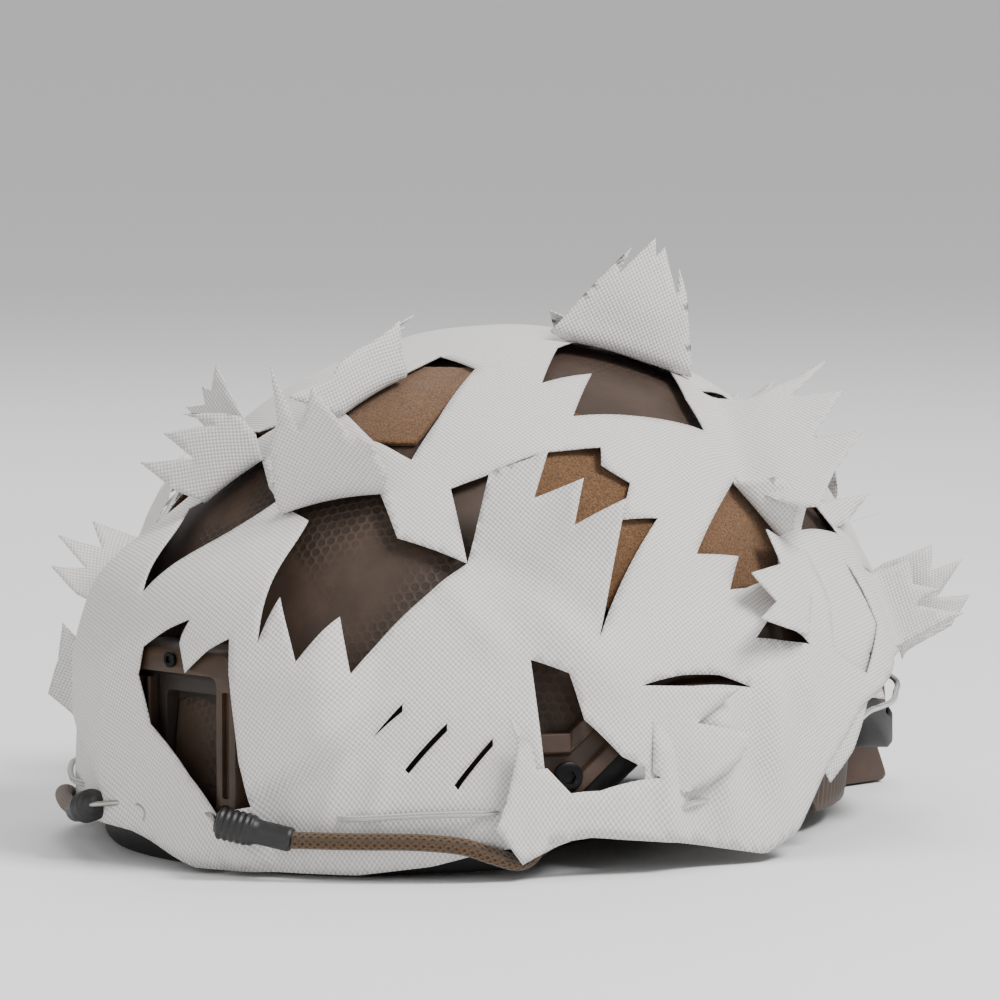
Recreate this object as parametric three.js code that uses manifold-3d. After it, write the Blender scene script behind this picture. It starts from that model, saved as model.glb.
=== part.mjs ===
// A high-cut tactical helmet dressed in a white leaf-cut snow camouflage cover.
// Units are millimetres. +Z is up, -Y is the helmet's front and +X is the wearer's left.
import * as THREE from 'three';
import { mergeVertices } from 'three/addons/utils/BufferGeometryUtils.js';
import Module from 'manifold-3d';

const wasm = await Module();
wasm.setup();

// ---------------------------------------------------------------- driving sizes
const halfLength = 142;          // shell outside, middle to brow
const halfWidth = 118;           // shell outside, middle to side
const crownRise = 131;           // waist to the top of the shell
const waistHeight = 31;          // height of the shell's widest line
const lowerDrop = 170;           // how fast the wall closes in below the waist
const shellWall = 8;
const clearance = 0.3;           // between pieces that touch
const lonStep = 5;               // degrees between the ribs of a ring

const trimWall = 2;
const trimLeg = 8;
const trimFloor = 2.7;
const trimInnerGap = 0.9;        // room for the shell's facets on the hollow side

const loopThickness = 1.8;       // hook-and-loop panels on the shell

const shroudWidth = 58;
const shroudHeight = 60;
const shroudFoot = 11.6;         // height of the shroud's lower edge
const shroudStandoff = 9;         // the shroud's face in front of the brow
const shroudFrontY = -(halfLength + shroudStandoff);
const shroudWall = 8.5;
const shroudRecess = 5.5;
const screwRadius = 2.6;
const screwHead = 1.3;

const railThickness = 6;
const railHeight = 22;
const railFrontLon = 53;
const railRearLon = 112;
const railAboveTrim = 1.2;
const railLowest = 24;
const boltRadius = 5;
const boltHead = 2;

const bungeeDiameter = 5.5;
const sleeveRadius = 5.2;
const sleeveNeckRadius = 3.9;
const sleeveLength = 23;
const sleeveGap = 1.2;           // the cord meets its sleeve at a slight angle
const wireDiameter = 1.8;
const hemCordDiameter = 2;

const coverThickness = 1;
const coverGapTop = 3.2;         // cover to shell over the crown
const coverGapLow = 9.6;         // cover to shell over the rails and shroud
const coverGapTopHeight = 100;
const coverGapLowHeight = 80;

const padThickness = 17;
const padStandoff = 1.4;         // hook-and-loop between a pad and the shell

const dialTilt = 25;             // degrees the dial's axis leans up from the rear
const dialBehindShell = 16;
const dialY = halfLength + dialBehindShell;
const dialZ = 20;
const dialWidth = 35;
const dialCorner = 6;
const dialThickness = 15;
const dialGap = 0.6;
const axleRadius = 4;
const axleDepth = 6;
const yokeHalfWidth = 28;
const yokeInsideShell = 10.5;     // the yoke's front behind the shell's rear
const yokeFrontY = halfLength - yokeInsideShell;
const yokeFloor = 0.5;
const yokeTop = 26;
const napePadHalf = 22;          // degrees each side of the rear
const napePadTall = 44;
const napePadThickness = 14.5;
const napePadGap = 4.5;          // nape pad to the shell's inside
const napePadOuter = -shellWall - napePadGap;
const napePadInner = napePadOuter - napePadThickness;
const napeArmFrontLon = 112;
const napeArmGap = 1.5;          // degrees between an arm and the pad
const napeArmFloor = 7;
const napeArmTall = 15;

const strapWidth = 20;
const strapThickness = 1.6;
const strapY = -10;
const strapFloor = 3.2;
const buckleHalf = 26;
const buckleWidth = 24;
const buckleThickness = 8.5;
const buckleTongue = 12;
const buckleTongueThickness = 3;

// ---------------------------------------------------------------- the dome
const degrees = Math.PI / 180;

// A smooth run through hand-chosen [angle, height] stops, the same on both sides.
function alongRim(stops, lon) {
  const turn = Math.abs(((lon + 180) % 360 + 360) % 360 - 180);
  for (let i = 1; i < stops.length; i++) {
    if (turn <= stops[i][0]) {
      const [a, low] = stops[i - 1];
      const [b, high] = stops[i];
      return low + (high - low) * THREE.MathUtils.smoothstep(turn, a, b);
    }
  }
  return stops[stops.length - 1][1];
}

const rimFront = trimFloor + clearance;
const earCut = 44;               // height of the shell's edge over the ears
const rimStops = [
  [0, rimFront], [25, rimFront], [50, rimFront + 2], [76, earCut], [112, earCut],
  [132, 27], [150, 27], [162, earCut], [180, earCut],
];
const rimHeight = (lon) => alongRim(rimStops, lon);

const hemStops = [
  [0, 2], [38, 4], [47, 12], [60, 13], [72, 9], [84, 3], [97, 26], [112, 36],
  [150, 38], [162, 47], [180, 47],
];
const hemHeight = (lon) => alongRim(hemStops, lon);

// A point at a height on the layer that lies `out` millimetres outside the shell.
function atHeight(lon, z, out) {
  const rise = z >= waistHeight ? crownRise + out : lowerDrop + out;
  const ring = Math.sqrt(Math.max(0, 1 - ((z - waistHeight) / rise) ** 2));
  const x = (halfWidth + out) * ring * Math.sin(lon * degrees);
  const y = -(halfLength + out) * ring * Math.cos(lon * degrees);
  return new THREE.Vector3(x, y, z);
}

function heightOf(lat, out) {
  const rise = lat >= 0 ? crownRise + out : lowerDrop + out;
  return waistHeight + rise * Math.sin(lat * degrees);
}

function latitudeOf(z, out) {
  const rise = z >= waistHeight ? crownRise + out : lowerDrop + out;
  return Math.asin((z - waistHeight) / rise) / degrees;
}

const atLatitude = (lon, lat, out) => atHeight(lon, heightOf(lat, out), out);

function outward(point) {
  const rise = point.z >= waistHeight ? crownRise : lowerDrop;
  const x = point.x / halfWidth ** 2;
  const y = point.y / halfLength ** 2;
  return new THREE.Vector3(x, y, (point.z - waistHeight) / rise ** 2).normalize();
}

// ---------------------------------------------------------------- mesh helpers
function fromPoints(points, faces) {
  const geometry = new THREE.BufferGeometry();
  const numbers = points.flatMap((point) => point.toArray());
  geometry.setAttribute('position', new THREE.Float32BufferAttribute(numbers, 3));
  geometry.setIndex(faces.flat());
  geometry.computeVertexNormals();
  return geometry;
}

function toSolid(geometry) {
  const bare = geometry.clone();
  bare.deleteAttribute('normal');
  bare.deleteAttribute('uv');
  const merged = mergeVertices(bare, 1e-4);
  const mesh = new wasm.Mesh({
    numProp: 3,
    vertProperties: new Float32Array(merged.attributes.position.array),
    triVerts: new Uint32Array(merged.index.array),
  });
  return new wasm.Manifold(mesh);
}

function fromSolid(solid) {
  const mesh = solid.getMesh();
  const geometry = new THREE.BufferGeometry();
  geometry.setAttribute('position', new THREE.BufferAttribute(new Float32Array(mesh.vertProperties), 3));
  geometry.setIndex(new THREE.BufferAttribute(new Uint32Array(mesh.triVerts), 1));
  geometry.computeVertexNormals();
  return geometry;
}

// A cap over the whole dome between two layers, down to a rim height for each angle.
function domeShell(rim, outerOf, innerOf, levels) {
  const ribs = 360 / lonStep;
  const points = [atLatitude(0, 90, outerOf(0, 90)), atLatitude(0, 90, innerOf(0, 90))];
  for (const layer of [outerOf, innerOf]) {
    for (let j = 1; j <= levels; j++) {
      for (let i = 0; i < ribs; i++) {
        const lon = i * lonStep;
        const foot = rim(lon);
        const lowLat = latitudeOf(foot, layer(lon, -10));
        const lat = 90 + (lowLat - 90) * (j / levels);
        const out = layer(lon, lat);
        points.push(j === levels ? atHeight(lon, foot, out) : atLatitude(lon, lat, out));
      }
    }
  }
  const at = (layer, j, i) => 2 + (layer * levels + j - 1) * ribs + (i % ribs);
  const faces = [];
  for (let i = 0; i < ribs; i++) {
    faces.push([0, at(0, 1, i), at(0, 1, i + 1)], [1, at(1, 1, i + 1), at(1, 1, i)]);
    for (let j = 1; j < levels; j++) {
      faces.push([at(0, j, i), at(0, j + 1, i), at(0, j + 1, i + 1)]);
      faces.push([at(0, j, i), at(0, j + 1, i + 1), at(0, j, i + 1)]);
      faces.push([at(1, j, i), at(1, j + 1, i + 1), at(1, j + 1, i)]);
      faces.push([at(1, j, i), at(1, j, i + 1), at(1, j + 1, i + 1)]);
    }
    faces.push([at(0, levels, i), at(1, levels, i), at(1, levels, i + 1)]);
    faces.push([at(0, levels, i), at(1, levels, i + 1), at(0, levels, i + 1)]);
  }
  return fromPoints(points, faces);
}

// A curved slab: a grid of points(s, t) on two layers, joined round its edges.
function slab(place, inner, outer, across, up) {
  const points = [];
  for (const out of [outer, inner]) {
    for (let j = 0; j <= up; j++) {
      for (let i = 0; i <= across; i++) points.push(place(i / across, j / up, out));
    }
  }
  const row = across + 1;
  const layer = row * (up + 1);
  const at = (k, j, i) => k * layer + j * row + i;
  const faces = [];
  const quad = (a, b, c, d) => faces.push([a, b, c], [a, c, d]);
  for (let j = 0; j < up; j++) {
    for (let i = 0; i < across; i++) {
      quad(at(0, j, i), at(0, j, i + 1), at(0, j + 1, i + 1), at(0, j + 1, i));
      quad(at(1, j, i), at(1, j + 1, i), at(1, j + 1, i + 1), at(1, j, i + 1));
    }
    quad(at(0, j, 0), at(0, j + 1, 0), at(1, j + 1, 0), at(1, j, 0));
    quad(at(0, j, across), at(1, j, across), at(1, j + 1, across), at(0, j + 1, across));
  }
  for (let i = 0; i < across; i++) {
    quad(at(0, 0, i), at(1, 0, i), at(1, 0, i + 1), at(0, 0, i + 1));
    quad(at(0, up, i), at(0, up, i + 1), at(1, up, i + 1), at(1, up, i));
  }
  return fromPoints(points, faces);
}

// A four-cornered patch of the dome. Its corners are [lon, lat], anticlockwise from the lower left.
function domePatch(corners, inner, outer, step) {
  const [a, b, c, d] = corners;
  const blend = (s, t, k) => (a[k] * (1 - s) + b[k] * s) * (1 - t) + (d[k] * (1 - s) + c[k] * s) * t;
  const wide = Math.max(Math.abs(b[0] - a[0]), Math.abs(c[0] - d[0]));
  const tall = Math.max(Math.abs(d[1] - a[1]), Math.abs(c[1] - b[1]));
  const place = (s, t, out) => atLatitude(blend(s, t, 0), blend(s, t, 1), out);
  return slab(place, inner, outer, Math.ceil(wide / step), Math.ceil(tall / step));
}

// A flat band along hand-chosen points, its width laid along `across`.
function ribbon(route, across, width, thickness, steps) {
  const curve = new THREE.CatmullRomCurve3(route.map((p) => new THREE.Vector3(...p)));
  const wide = new THREE.Vector3(...across).normalize();
  const place = (s, t, out) => {
    const face = new THREE.Vector3().crossVectors(wide, curve.getTangentAt(s)).normalize();
    return curve.getPointAt(s).addScaledVector(wide, (t - 0.5) * width).addScaledVector(face, -out);
  };
  return slab(place, -thickness / 2, thickness / 2, steps, 1);
}

function tube(points, diameter, steps, sides = 8) {
  const section = new THREE.Shape();
  section.setFromPoints(Array.from({ length: sides }, (_, i) => {
    const turn = (i / sides) * 2 * Math.PI;
    return new THREE.Vector2(Math.cos(turn), Math.sin(turn)).multiplyScalar(diameter / 2);
  }));
  const curve = new THREE.CatmullRomCurve3(points);
  return new THREE.ExtrudeGeometry(section, { extrudePath: curve, steps, bevelEnabled: false });
}

function roundedRectangle(width, height, radius) {
  const shape = new THREE.Shape();
  const x = width / 2;
  const y = height / 2;
  shape.moveTo(-x + radius, -y);
  shape.lineTo(x - radius, -y);
  shape.absarc(x - radius, -y + radius, radius, -Math.PI / 2, 0, false);
  shape.absarc(x - radius, y - radius, radius, 0, Math.PI / 2, false);
  shape.absarc(-x + radius, y - radius, radius, Math.PI / 2, Math.PI, false);
  shape.absarc(-x + radius, -y + radius, radius, Math.PI, 1.5 * Math.PI, false);
  return shape;
}

function boxSolid(wide, deep, tall, x, y, z) {
  return toSolid(new THREE.BoxGeometry(wide, deep, tall).translate(x, y, z));
}

// ---------------------------------------------------------------- assembly
const helmet = new THREE.Group();

function finish(color, roughness, metalness = 0) {
  return () => new THREE.MeshStandardMaterial({ color, roughness, metalness });
}

const looks = {
  shell: finish('#53443a', 0.6),
  trim: finish('#1d1b1a', 0.8),
  loop: finish('#795c3e', 0.95),
  shroud: finish('#43321f', 0.5),
  plate: finish('#342920', 0.55),
  rail: finish('#4a3524', 0.5),
  screw: finish('#202022', 0.4, 0.8),
  bungee: finish('#4d3d2b', 0.9),
  sleeve: finish('#333133', 0.55),
  wire: finish('#b9b7b2', 0.25, 0.9),
  cover: finish('#dcdad8', 0.85),
  elastic: finish('#d8d8d6', 0.7),
  pad: finish('#2a2826', 0.95),
  webbing: finish('#4f4130', 0.9),
};

function piece(name, look, geometry, parent = helmet) {
  const mesh = new THREE.Mesh(geometry, looks[look]());
  mesh.name = name;
  parent.add(mesh);
  return mesh;
}

const sides = [['left', 1], ['right', -1]];

// Shell, and the rubber trim that caps its edge.
piece('shell', 'shell', domeShell(rimHeight, () => 0, () => -shellWall, 10));

function edgeTrim() {
  const inside = -shellWall - trimInnerGap;
  const section = [
    [clearance + trimWall, trimLeg], [clearance, trimLeg], [clearance, -clearance], [inside, -clearance],
    [inside, trimLeg], [inside - trimWall, trimLeg], [inside - trimWall, -clearance - trimFloor],
    [clearance + trimWall, -clearance - trimFloor],
  ];
  const ribs = 360 / lonStep;
  const points = [];
  for (let i = 0; i < ribs; i++) {
    const lon = i * lonStep;
    for (const [out, up] of section) points.push(atHeight(lon, rimHeight(lon) + up, out));
  }
  const faces = [];
  const around = section.length;
  for (let i = 0; i < ribs; i++) {
    for (let k = 0; k < around; k++) {
      const a = i * around + k;
      const b = i * around + (k + 1) % around;
      const c = ((i + 1) % ribs) * around + (k + 1) % around;
      const d = ((i + 1) % ribs) * around + k;
      faces.push([a, c, b], [a, d, c]);
    }
  }
  return fromPoints(points, faces);
}
piece('edge_trim', 'trim', edgeTrim());

// Hook-and-loop panels stuck to the shell.
const panelStep = 4.4;
const loopPanel = (corners) => domePatch(corners, clearance, clearance + loopThickness, panelStep);
piece('loop_panel_front', 'loop', loopPanel([[-30, 51], [30, 51], [40, 70], [-40, 70]]));
piece('loop_panel_left', 'loop', loopPanel([[46, 22], [110, 26], [106, 47], [50, 62]]));
piece('loop_panel_right', 'loop', loopPanel([[-110, 26], [-46, 22], [-50, 62], [-106, 47]]));
piece('loop_panel_rear', 'loop', loopPanel([[150, 20], [210, 20], [204, 50], [156, 50]]));

// Night-vision shroud: a frame with a recessed plate, screwed to the brow.
// The shroud is cut to the shell's curve with a fine copy of the shell, a hair larger.
const shroudBackY = -126;
const shellBody = toSolid(domeShell(() => -20, () => clearance, () => -60, 18));
const shroudMiddle = shroudFoot + shroudHeight / 2;
const recessWidth = shroudWidth - 2 * shroudWall;
const recessHeight = shroudHeight - 2 * shroudWall;

function standing(shape, backY, frontY) {
  const cut = { depth: backY - frontY, bevelEnabled: false, curveSegments: 4 };
  const geometry = new THREE.ExtrudeGeometry(shape, cut);
  return geometry.rotateX(Math.PI / 2).translate(0, backY, shroudMiddle);
}

function shroudFrame() {
  const shape = roundedRectangle(shroudWidth, shroudHeight, 7);
  shape.holes.push(roundedRectangle(recessWidth, recessHeight, 3));
  return fromSolid(toSolid(standing(shape, shroudBackY, shroudFrontY)).subtract(shellBody));
}

function shroudPlate() {
  const shape = roundedRectangle(recessWidth - 2 * clearance, recessHeight - 2 * clearance, 2.7);
  return fromSolid(toSolid(standing(shape, shroudBackY, shroudFrontY + shroudRecess)).subtract(shellBody));
}

piece('shroud_frame', 'shroud', shroudFrame());
piece('shroud_plate', 'plate', shroudPlate());

const screwSpots = [
  ['top', 0, shroudHeight / 2 - shroudWall / 2],
  ['left', shroudWidth / 2 - shroudWall / 2, -shroudHeight / 2 + shroudWall],
  ['right', -shroudWidth / 2 + shroudWall / 2, -shroudHeight / 2 + shroudWall],
];
for (const [side, x, up] of screwSpots) {
  const head = new THREE.CylinderGeometry(screwRadius, screwRadius, screwHead, 16);
  const screw = piece(`shroud_screw_${side}`, 'screw', head);
  screw.position.set(x, shroudFrontY - clearance - screwHead / 2, shroudMiddle + up);
}

// Accessory rails over the ear cuts, each held by two bolts.
const boltUp = 0.38;             // share of the rail's height
const railFoot = (lon) => Math.max(rimHeight(lon) + trimLeg + railAboveTrim, railLowest);

function rail(sign) {
  const place = (s, t, out) => {
    const lon = railFrontLon + (railRearLon - railFrontLon) * (sign > 0 ? s : 1 - s);
    return atHeight(sign * lon, railFoot(lon) + railHeight * t, out);
  };
  return slab(place, clearance, clearance + railThickness, 16, 5);
}

function bolt(lon) {
  const spot = atHeight(lon, railFoot(Math.abs(lon)) + railHeight * boltUp, railThickness + 2 * clearance);
  const group = new THREE.Group();
  group.position.copy(spot);
  group.quaternion.setFromUnitVectors(new THREE.Vector3(0, 1, 0), outward(spot));
  helmet.add(group);
  return group;
}

for (const [side, sign] of sides) {
  piece(`rail_${side}`, 'rail', rail(sign));
  for (const [end, lon] of [['front', railFrontLon + 5], ['rear', railRearLon - 6]]) {
    const head = new THREE.CylinderGeometry(boltRadius, boltRadius, boltHead, 20);
    const seated = head.translate(0, boltHead / 2, 0);
    piece(`rail_bolt_${side}_${end}`, 'screw', seated, bolt(sign * lon));
  }
}

// Bungees: elastic cord from the rail, a shrunk sleeve, and a wire hook at the shroud.
const bungeeFrontOut = 16.5;
const sleeveReach = 21.4;        // cord's front end beside the shroud
const bungeeFrontSine = (shroudWidth / 2 + sleeveReach) / (halfWidth + bungeeFrontOut);
const bungeeRoute = [
  [Math.asin(bungeeFrontSine) / degrees, 13.5, bungeeFrontOut], [30, 13.5, 15.3], [38, 13.5, 15], [44, 12, 14.5], [48, 8.5, 13],
  [51, 6, 10], [53, 7, 7], [54.5, 12, 5.7], [55, 18, 5.6], [55, 23.4, 5.6],
];
const hookStandoff = 2;          // hook wire in front of the shroud's face
const hookY = shroudFrontY - hookStandoff;
const hookRoute = [[20, hookY - 0.5, 19.5], [13, hookY, 19.5], [10, hookY, 17.5], [10.5, hookY, 14.5]];

function mirrored(point, sign) {
  return new THREE.Vector3(sign * point.x, point.y, point.z);
}

for (const [side, sign] of sides) {
  const cordPoints = bungeeRoute.map(([lon, z, out]) => atHeight(lon, z, out));
  const start = cordPoints[0];
  const toHook = new THREE.Vector3(-0.84, -0.5, 0.2).normalize();
  const foot = start.clone().addScaledVector(toHook, sleeveGap);
  const tip = start.clone().addScaledVector(toHook, 2 * sleeveGap + sleeveLength);
  const cord = cordPoints.map((point) => mirrored(point, sign));
  piece(`bungee_cord_${side}`, 'bungee', tube(cord, bungeeDiameter, 26));
  const profile = [
    [0, 0], [sleeveNeckRadius, 0], [sleeveNeckRadius, sleeveLength * 0.42],
    [sleeveRadius, sleeveLength * 0.56], [sleeveRadius, sleeveLength * 0.96],
    [sleeveRadius - 1, sleeveLength], [0, sleeveLength],
  ].map(([r, h]) => new THREE.Vector2(r, h));
  const sleeve = piece(`bungee_sleeve_${side}`, 'sleeve', new THREE.LatheGeometry(profile, 16));
  sleeve.position.copy(mirrored(foot, sign));
  sleeve.quaternion.setFromUnitVectors(new THREE.Vector3(0, 1, 0), mirrored(toHook, sign));
  const wire = [tip, ...hookRoute.map((p) => new THREE.Vector3(...p))];
  piece(`bungee_hook_${side}`, 'wire', tube(wire.map((p) => mirrored(p, sign)), wireDiameter, 20));
}

// Liner pads inside the shell.
const padOuter = -shellWall - padStandoff;
const linerPad = (corners) => domePatch(corners, padOuter - padThickness, padOuter, 8);
piece('liner_pad_front', 'pad', linerPad([[-34, -3], [34, -3], [34, 26], [-34, 26]]));
piece('liner_pad_rear', 'pad', linerPad([[150, 16], [210, 16], [206, 44], [154, 44]]));
for (const [side, sign] of sides) {
  for (const [end, a, b] of [['front', 44, 78], ['rear', 98, 134]]) {
    const [low, high] = sign > 0 ? [a, b] : [-b, -a];
    piece(`liner_pad_${side}_${end}`, 'pad', linerPad([[low, 22], [high, 22], [high, 50], [low, 50]]));
  }
}

const crownPadRadius = 38;
function crownPad() {
  const radius = crownPadRadius;
  const top = waistHeight + crownRise + padOuter;
  const drop = (r) => (crownRise + padOuter) * (1 - Math.sqrt(1 - (r / (halfWidth + padOuter)) ** 2));
  const profile = [[0, top - padThickness]];
  for (const share of [0.5, 1]) {
    profile.push([share * radius, top - padThickness - drop(share * radius)]);
  }
  for (const share of [1, 0.75, 0.5, 0.25]) profile.push([share * radius, top - drop(share * radius)]);
  profile.push([0, top]);
  return new THREE.LatheGeometry(profile.map(([r, z]) => new THREE.Vector2(r, z)), 28).rotateX(Math.PI / 2);
}
piece('liner_pad_crown', 'pad', crownPad());

// Nape fit system: pad, yoke, two arms and the tilted dial on its axle.
const tiltedPlaneY = (up) => dialY - up * Math.tan(dialTilt * degrees);

function napeYoke() {
  const face = (z) => tiltedPlaneY(z - dialZ) - dialGap;
  const profile = [
    [yokeFrontY, yokeFloor], [face(yokeFloor) - 2, yokeFloor], [face(3.5), 3.5],
    [face(yokeTop), yokeTop], [yokeFrontY + 14.5, yokeTop - 3], [yokeFrontY, yokeTop - 4],
  ];
  const shape = new THREE.Shape(profile.map(([y, z]) => new THREE.Vector2(y, z)));
  const block = new THREE.ExtrudeGeometry(shape, { depth: 2 * yokeHalfWidth, bevelEnabled: false });
  const axes = new THREE.Matrix4().makeBasis(
    new THREE.Vector3(0, 1, 0), new THREE.Vector3(0, 0, 1), new THREE.Vector3(1, 0, 0));
  block.applyMatrix4(axes).translate(-yokeHalfWidth, 0, 0);
  const boreRadius = axleRadius + clearance;
  const bore = new THREE.CylinderGeometry(boreRadius, boreRadius, 2 * axleDepth, 24);
  bore.rotateX(dialTilt * degrees).translate(0, dialY, dialZ);
  return fromSolid(toSolid(block).subtract(toSolid(bore)));
}

piece('nape_yoke', 'rail', napeYoke());
const napePlace = (s, t, out) => atHeight(180 + napePadHalf * (2 * s - 1), napePadTall * t, out);
piece('nape_pad', 'pad', slab(napePlace, napePadInner, napePadOuter, 8, 5));
for (const [side, sign] of sides) {
  const armPlace = (s, t, out) => {
    const reach = 180 - napePadHalf - napeArmGap - napeArmFrontLon;
    const lon = napeArmFrontLon + reach * (sign > 0 ? s : 1 - s);
    return atHeight(sign * lon, napeArmFloor + napeArmTall * t, out);
  };
  piece(`nape_arm_${side}`, 'rail', slab(armPlace, napePadOuter - 2, napePadOuter, 10, 1));
}

const dial = new THREE.Group();
dial.position.set(0, dialY, dialZ);
dial.rotation.x = dialTilt * degrees;
helmet.add(dial);

function dialKnob() {
  const shape = roundedRectangle(dialWidth, dialWidth, dialCorner);
  const cut = { depth: dialThickness, bevelEnabled: false, curveSegments: 5 };
  const block = new THREE.ExtrudeGeometry(shape, cut).rotateX(-Math.PI / 2);
  const bore = new THREE.CylinderGeometry(axleRadius, axleRadius, 2 * axleDepth, 24);
  return fromSolid(toSolid(block).subtract(toSolid(bore)));
}
piece('dial_knob', 'rail', dialKnob(), dial);
const axleShaft = axleRadius - clearance;
const axle = new THREE.CylinderGeometry(axleShaft, axleShaft, 2 * (axleDepth - clearance), 20);
piece('dial_axle', 'screw', axle, dial);

// Chin harness, folded away inside the shell. A strap point keeps its gap to the shell's inside.
function strapPoint(z, gap) {
  return [atHeight(90, z, -shellWall).x - gap, strapY, z];
}
for (const [side, sign] of sides) {
  const side3 = ([x, y, z]) => [sign * x, y, z];
  const reach = buckleHalf + clearance;
  const front = [
    strapPoint(60, 4.9), strapPoint(40, 5.2), strapPoint(22, 6.8), strapPoint(9, 13),
    strapPoint(4.6, 24.5), [62, strapY, strapFloor], [reach, strapY, strapFloor],
  ].map(side3);
  piece(`chin_strap_${side}`, 'webbing', ribbon(front, [0, sign, 0], strapWidth, strapThickness, 22));
  const backY = strapY + strapWidth / 2 + clearance;
  const rear = [[80, 80, 44], [90, 50, 31], [96, 24, 22], [97, backY, 17]].map(side3);
  piece(`harness_strap_${side}`, 'webbing', ribbon(rear, [0, 0, sign], 15, strapThickness, 10));
}

// Magnetic buckle: the plug's tongue slides sideways out of the socket's channel.
const buckleFloor = 0.6;
const buckleMiddleZ = buckleFloor + buckleThickness / 2;
function buckleHalfBlock(sign) {
  const shape = roundedRectangle(buckleHalf - clearance / 2, buckleWidth, 4);
  const cut = { depth: buckleThickness, bevelEnabled: false, curveSegments: 4 };
  const block = new THREE.ExtrudeGeometry(shape, cut);
  return toSolid(block.translate(sign * (buckleHalf + clearance / 2) / 2, strapY, buckleFloor));
}

function buckleSocket() {
  const wide = buckleTongue + 2 * clearance;
  const tall = buckleTongueThickness + 2 * clearance;
  const channel = boxSolid(wide, buckleWidth, tall, wide / 2 - clearance, strapY - 4, buckleMiddleZ);
  return fromSolid(buckleHalfBlock(1).subtract(channel));
}

function bucklePlug() {
  const embed = 6;
  const wide = buckleTongue + embed;
  const deep = buckleWidth - embed;
  const x = (buckleTongue - embed) / 2;
  const tongue = boxSolid(wide, deep, buckleTongueThickness, x, strapY - 1.6, buckleMiddleZ);
  return fromSolid(buckleHalfBlock(-1).add(tongue));
}
piece('buckle_socket', 'shroud', buckleSocket());
piece('buckle_plug', 'shroud', bucklePlug());

// ---------------------------------------------------------------- snow cover
const coverGap = (lon, lat) => {
  const z = heightOf(Math.max(lat, -10), coverGapTop);
  const low = 1 - THREE.MathUtils.smoothstep(z, coverGapLowHeight, coverGapTopHeight);
  return coverGapTop + (coverGapLow - coverGapTop) * low;
};

// Each leaf tongue: where it is rooted, which way it points over the dome
// (0 = towards the crown, 90 = towards the wearer's left), how far it stands off, and its size.
const leaves = [
  { lon: -2, lat: 41, bearing: -75, lift: 40, length: 58, width: 34 },
  { lon: 9, lat: 37, bearing: 10, lift: 62, length: 52, width: 32 },
  { lon: -34, lat: 48, bearing: -40, lift: 55, length: 48, width: 30 },
  { lon: 49, lat: 25, bearing: 25, lift: 28, length: 55, width: 50 },
  { lon: 112, lat: 71, bearing: -40, lift: 62, length: 50, width: 44 },
  { lon: 102, lat: 48, bearing: 80, lift: 48, length: 62, width: 42 },
  { lon: 122, lat: 30, bearing: 60, lift: 50, length: 48, width: 34 },
  { lon: 138, lat: 19, bearing: 85, lift: 58, length: 60, width: 44 },
  { lon: 150, lat: 16, bearing: 110, lift: 55, length: 54, width: 34 },
  { lon: -52, lat: 12, bearing: -70, lift: 45, length: 36, width: 26 },
  { lon: -78, lat: 34, bearing: -30, lift: 45, length: 52, width: 38 },
  { lon: -102, lat: 14, bearing: -80, lift: 40, length: 52, width: 38 },
  { lon: -120, lat: 46, bearing: -60, lift: 50, length: 54, width: 40 },
  { lon: -62, lat: 62, bearing: -20, lift: 50, length: 46, width: 34 },
  { lon: 172, lat: 62, bearing: 160, lift: 50, length: 50, width: 40 },
  { lon: 178, lat: 34, bearing: -90, lift: 48, length: 54, width: 38 },
  { lon: -150, lat: 24, bearing: -70, lift: 50, length: 52, width: 38 },
  { lon: -20, lat: 70, bearing: -10, lift: 45, length: 44, width: 34 },
];

const leafHalfThickness = 0.45;

function leafBlank({ lon, lat, bearing, lift, length, width }) {
  const out = coverGap(lon, lat) + coverThickness / 2;
  const root = atLatitude(lon, lat, out);
  const normal = outward(root);
  const east = new THREE.Vector3(Math.cos(lon * degrees), Math.sin(lon * degrees), 0);
  const north = new THREE.Vector3().crossVectors(normal, east).normalize();
  const turn = bearing * degrees;
  const along = north.clone().multiplyScalar(Math.cos(turn)).addScaledVector(east, Math.sin(turn));
  const across = new THREE.Vector3().crossVectors(along, normal);
  const shares = [[0, 1], [0.35, 0.95], [0.7, 0.6], [1, 0.12]];
  const embed = 3;
  const points = [];
  for (const [share, wide] of shares) {
    const angle = lift * degrees * (0.7 + 0.5 * share);
    const reach = share === 0 ? -embed : share * length;
    const heading = along.clone().multiplyScalar(Math.cos(angle));
    heading.addScaledVector(normal, Math.sin(angle));
    const middle = root.clone().addScaledVector(share === 0 ? along : heading, reach);
    const face = new THREE.Vector3().crossVectors(across, heading).normalize();
    for (const [u, v] of [[-1, -1], [1, -1], [1, 1], [-1, 1]]) {
      const corner = middle.clone().addScaledVector(across, u * wide * width / 2);
      points.push(corner.addScaledVector(face, v * leafHalfThickness));
    }
  }
  const faces = [];
  const last = 4 * (shares.length - 1);
  for (let j = 0; j < shares.length - 1; j++) {
    for (let k = 0; k < 4; k++) {
      const a = 4 * j + k;
      const b = 4 * j + (k + 1) % 4;
      faces.push([a, b + 4, b], [a, a + 4, b + 4]);
    }
  }
  faces.push([0, 1, 2], [0, 2, 3], [last, last + 2, last + 1], [last, last + 3, last + 2]);
  return toSolid(fromPoints(points, faces));
}

function snowCover() {
  const outer = (lon, lat) => coverGap(lon, lat) + coverThickness;
  let cloth = toSolid(domeShell(hemHeight, outer, coverGap, 12));
  for (const leaf of leaves) cloth = cloth.add(leafBlank(leaf));
  const window = boxSolid(shroudWidth + 8, 60, shroudHeight + 8, 0, -150, shroudMiddle);
  return fromSolid(cloth.subtract(window));
}
piece('snow_cover', 'cover', snowCover());

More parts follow.
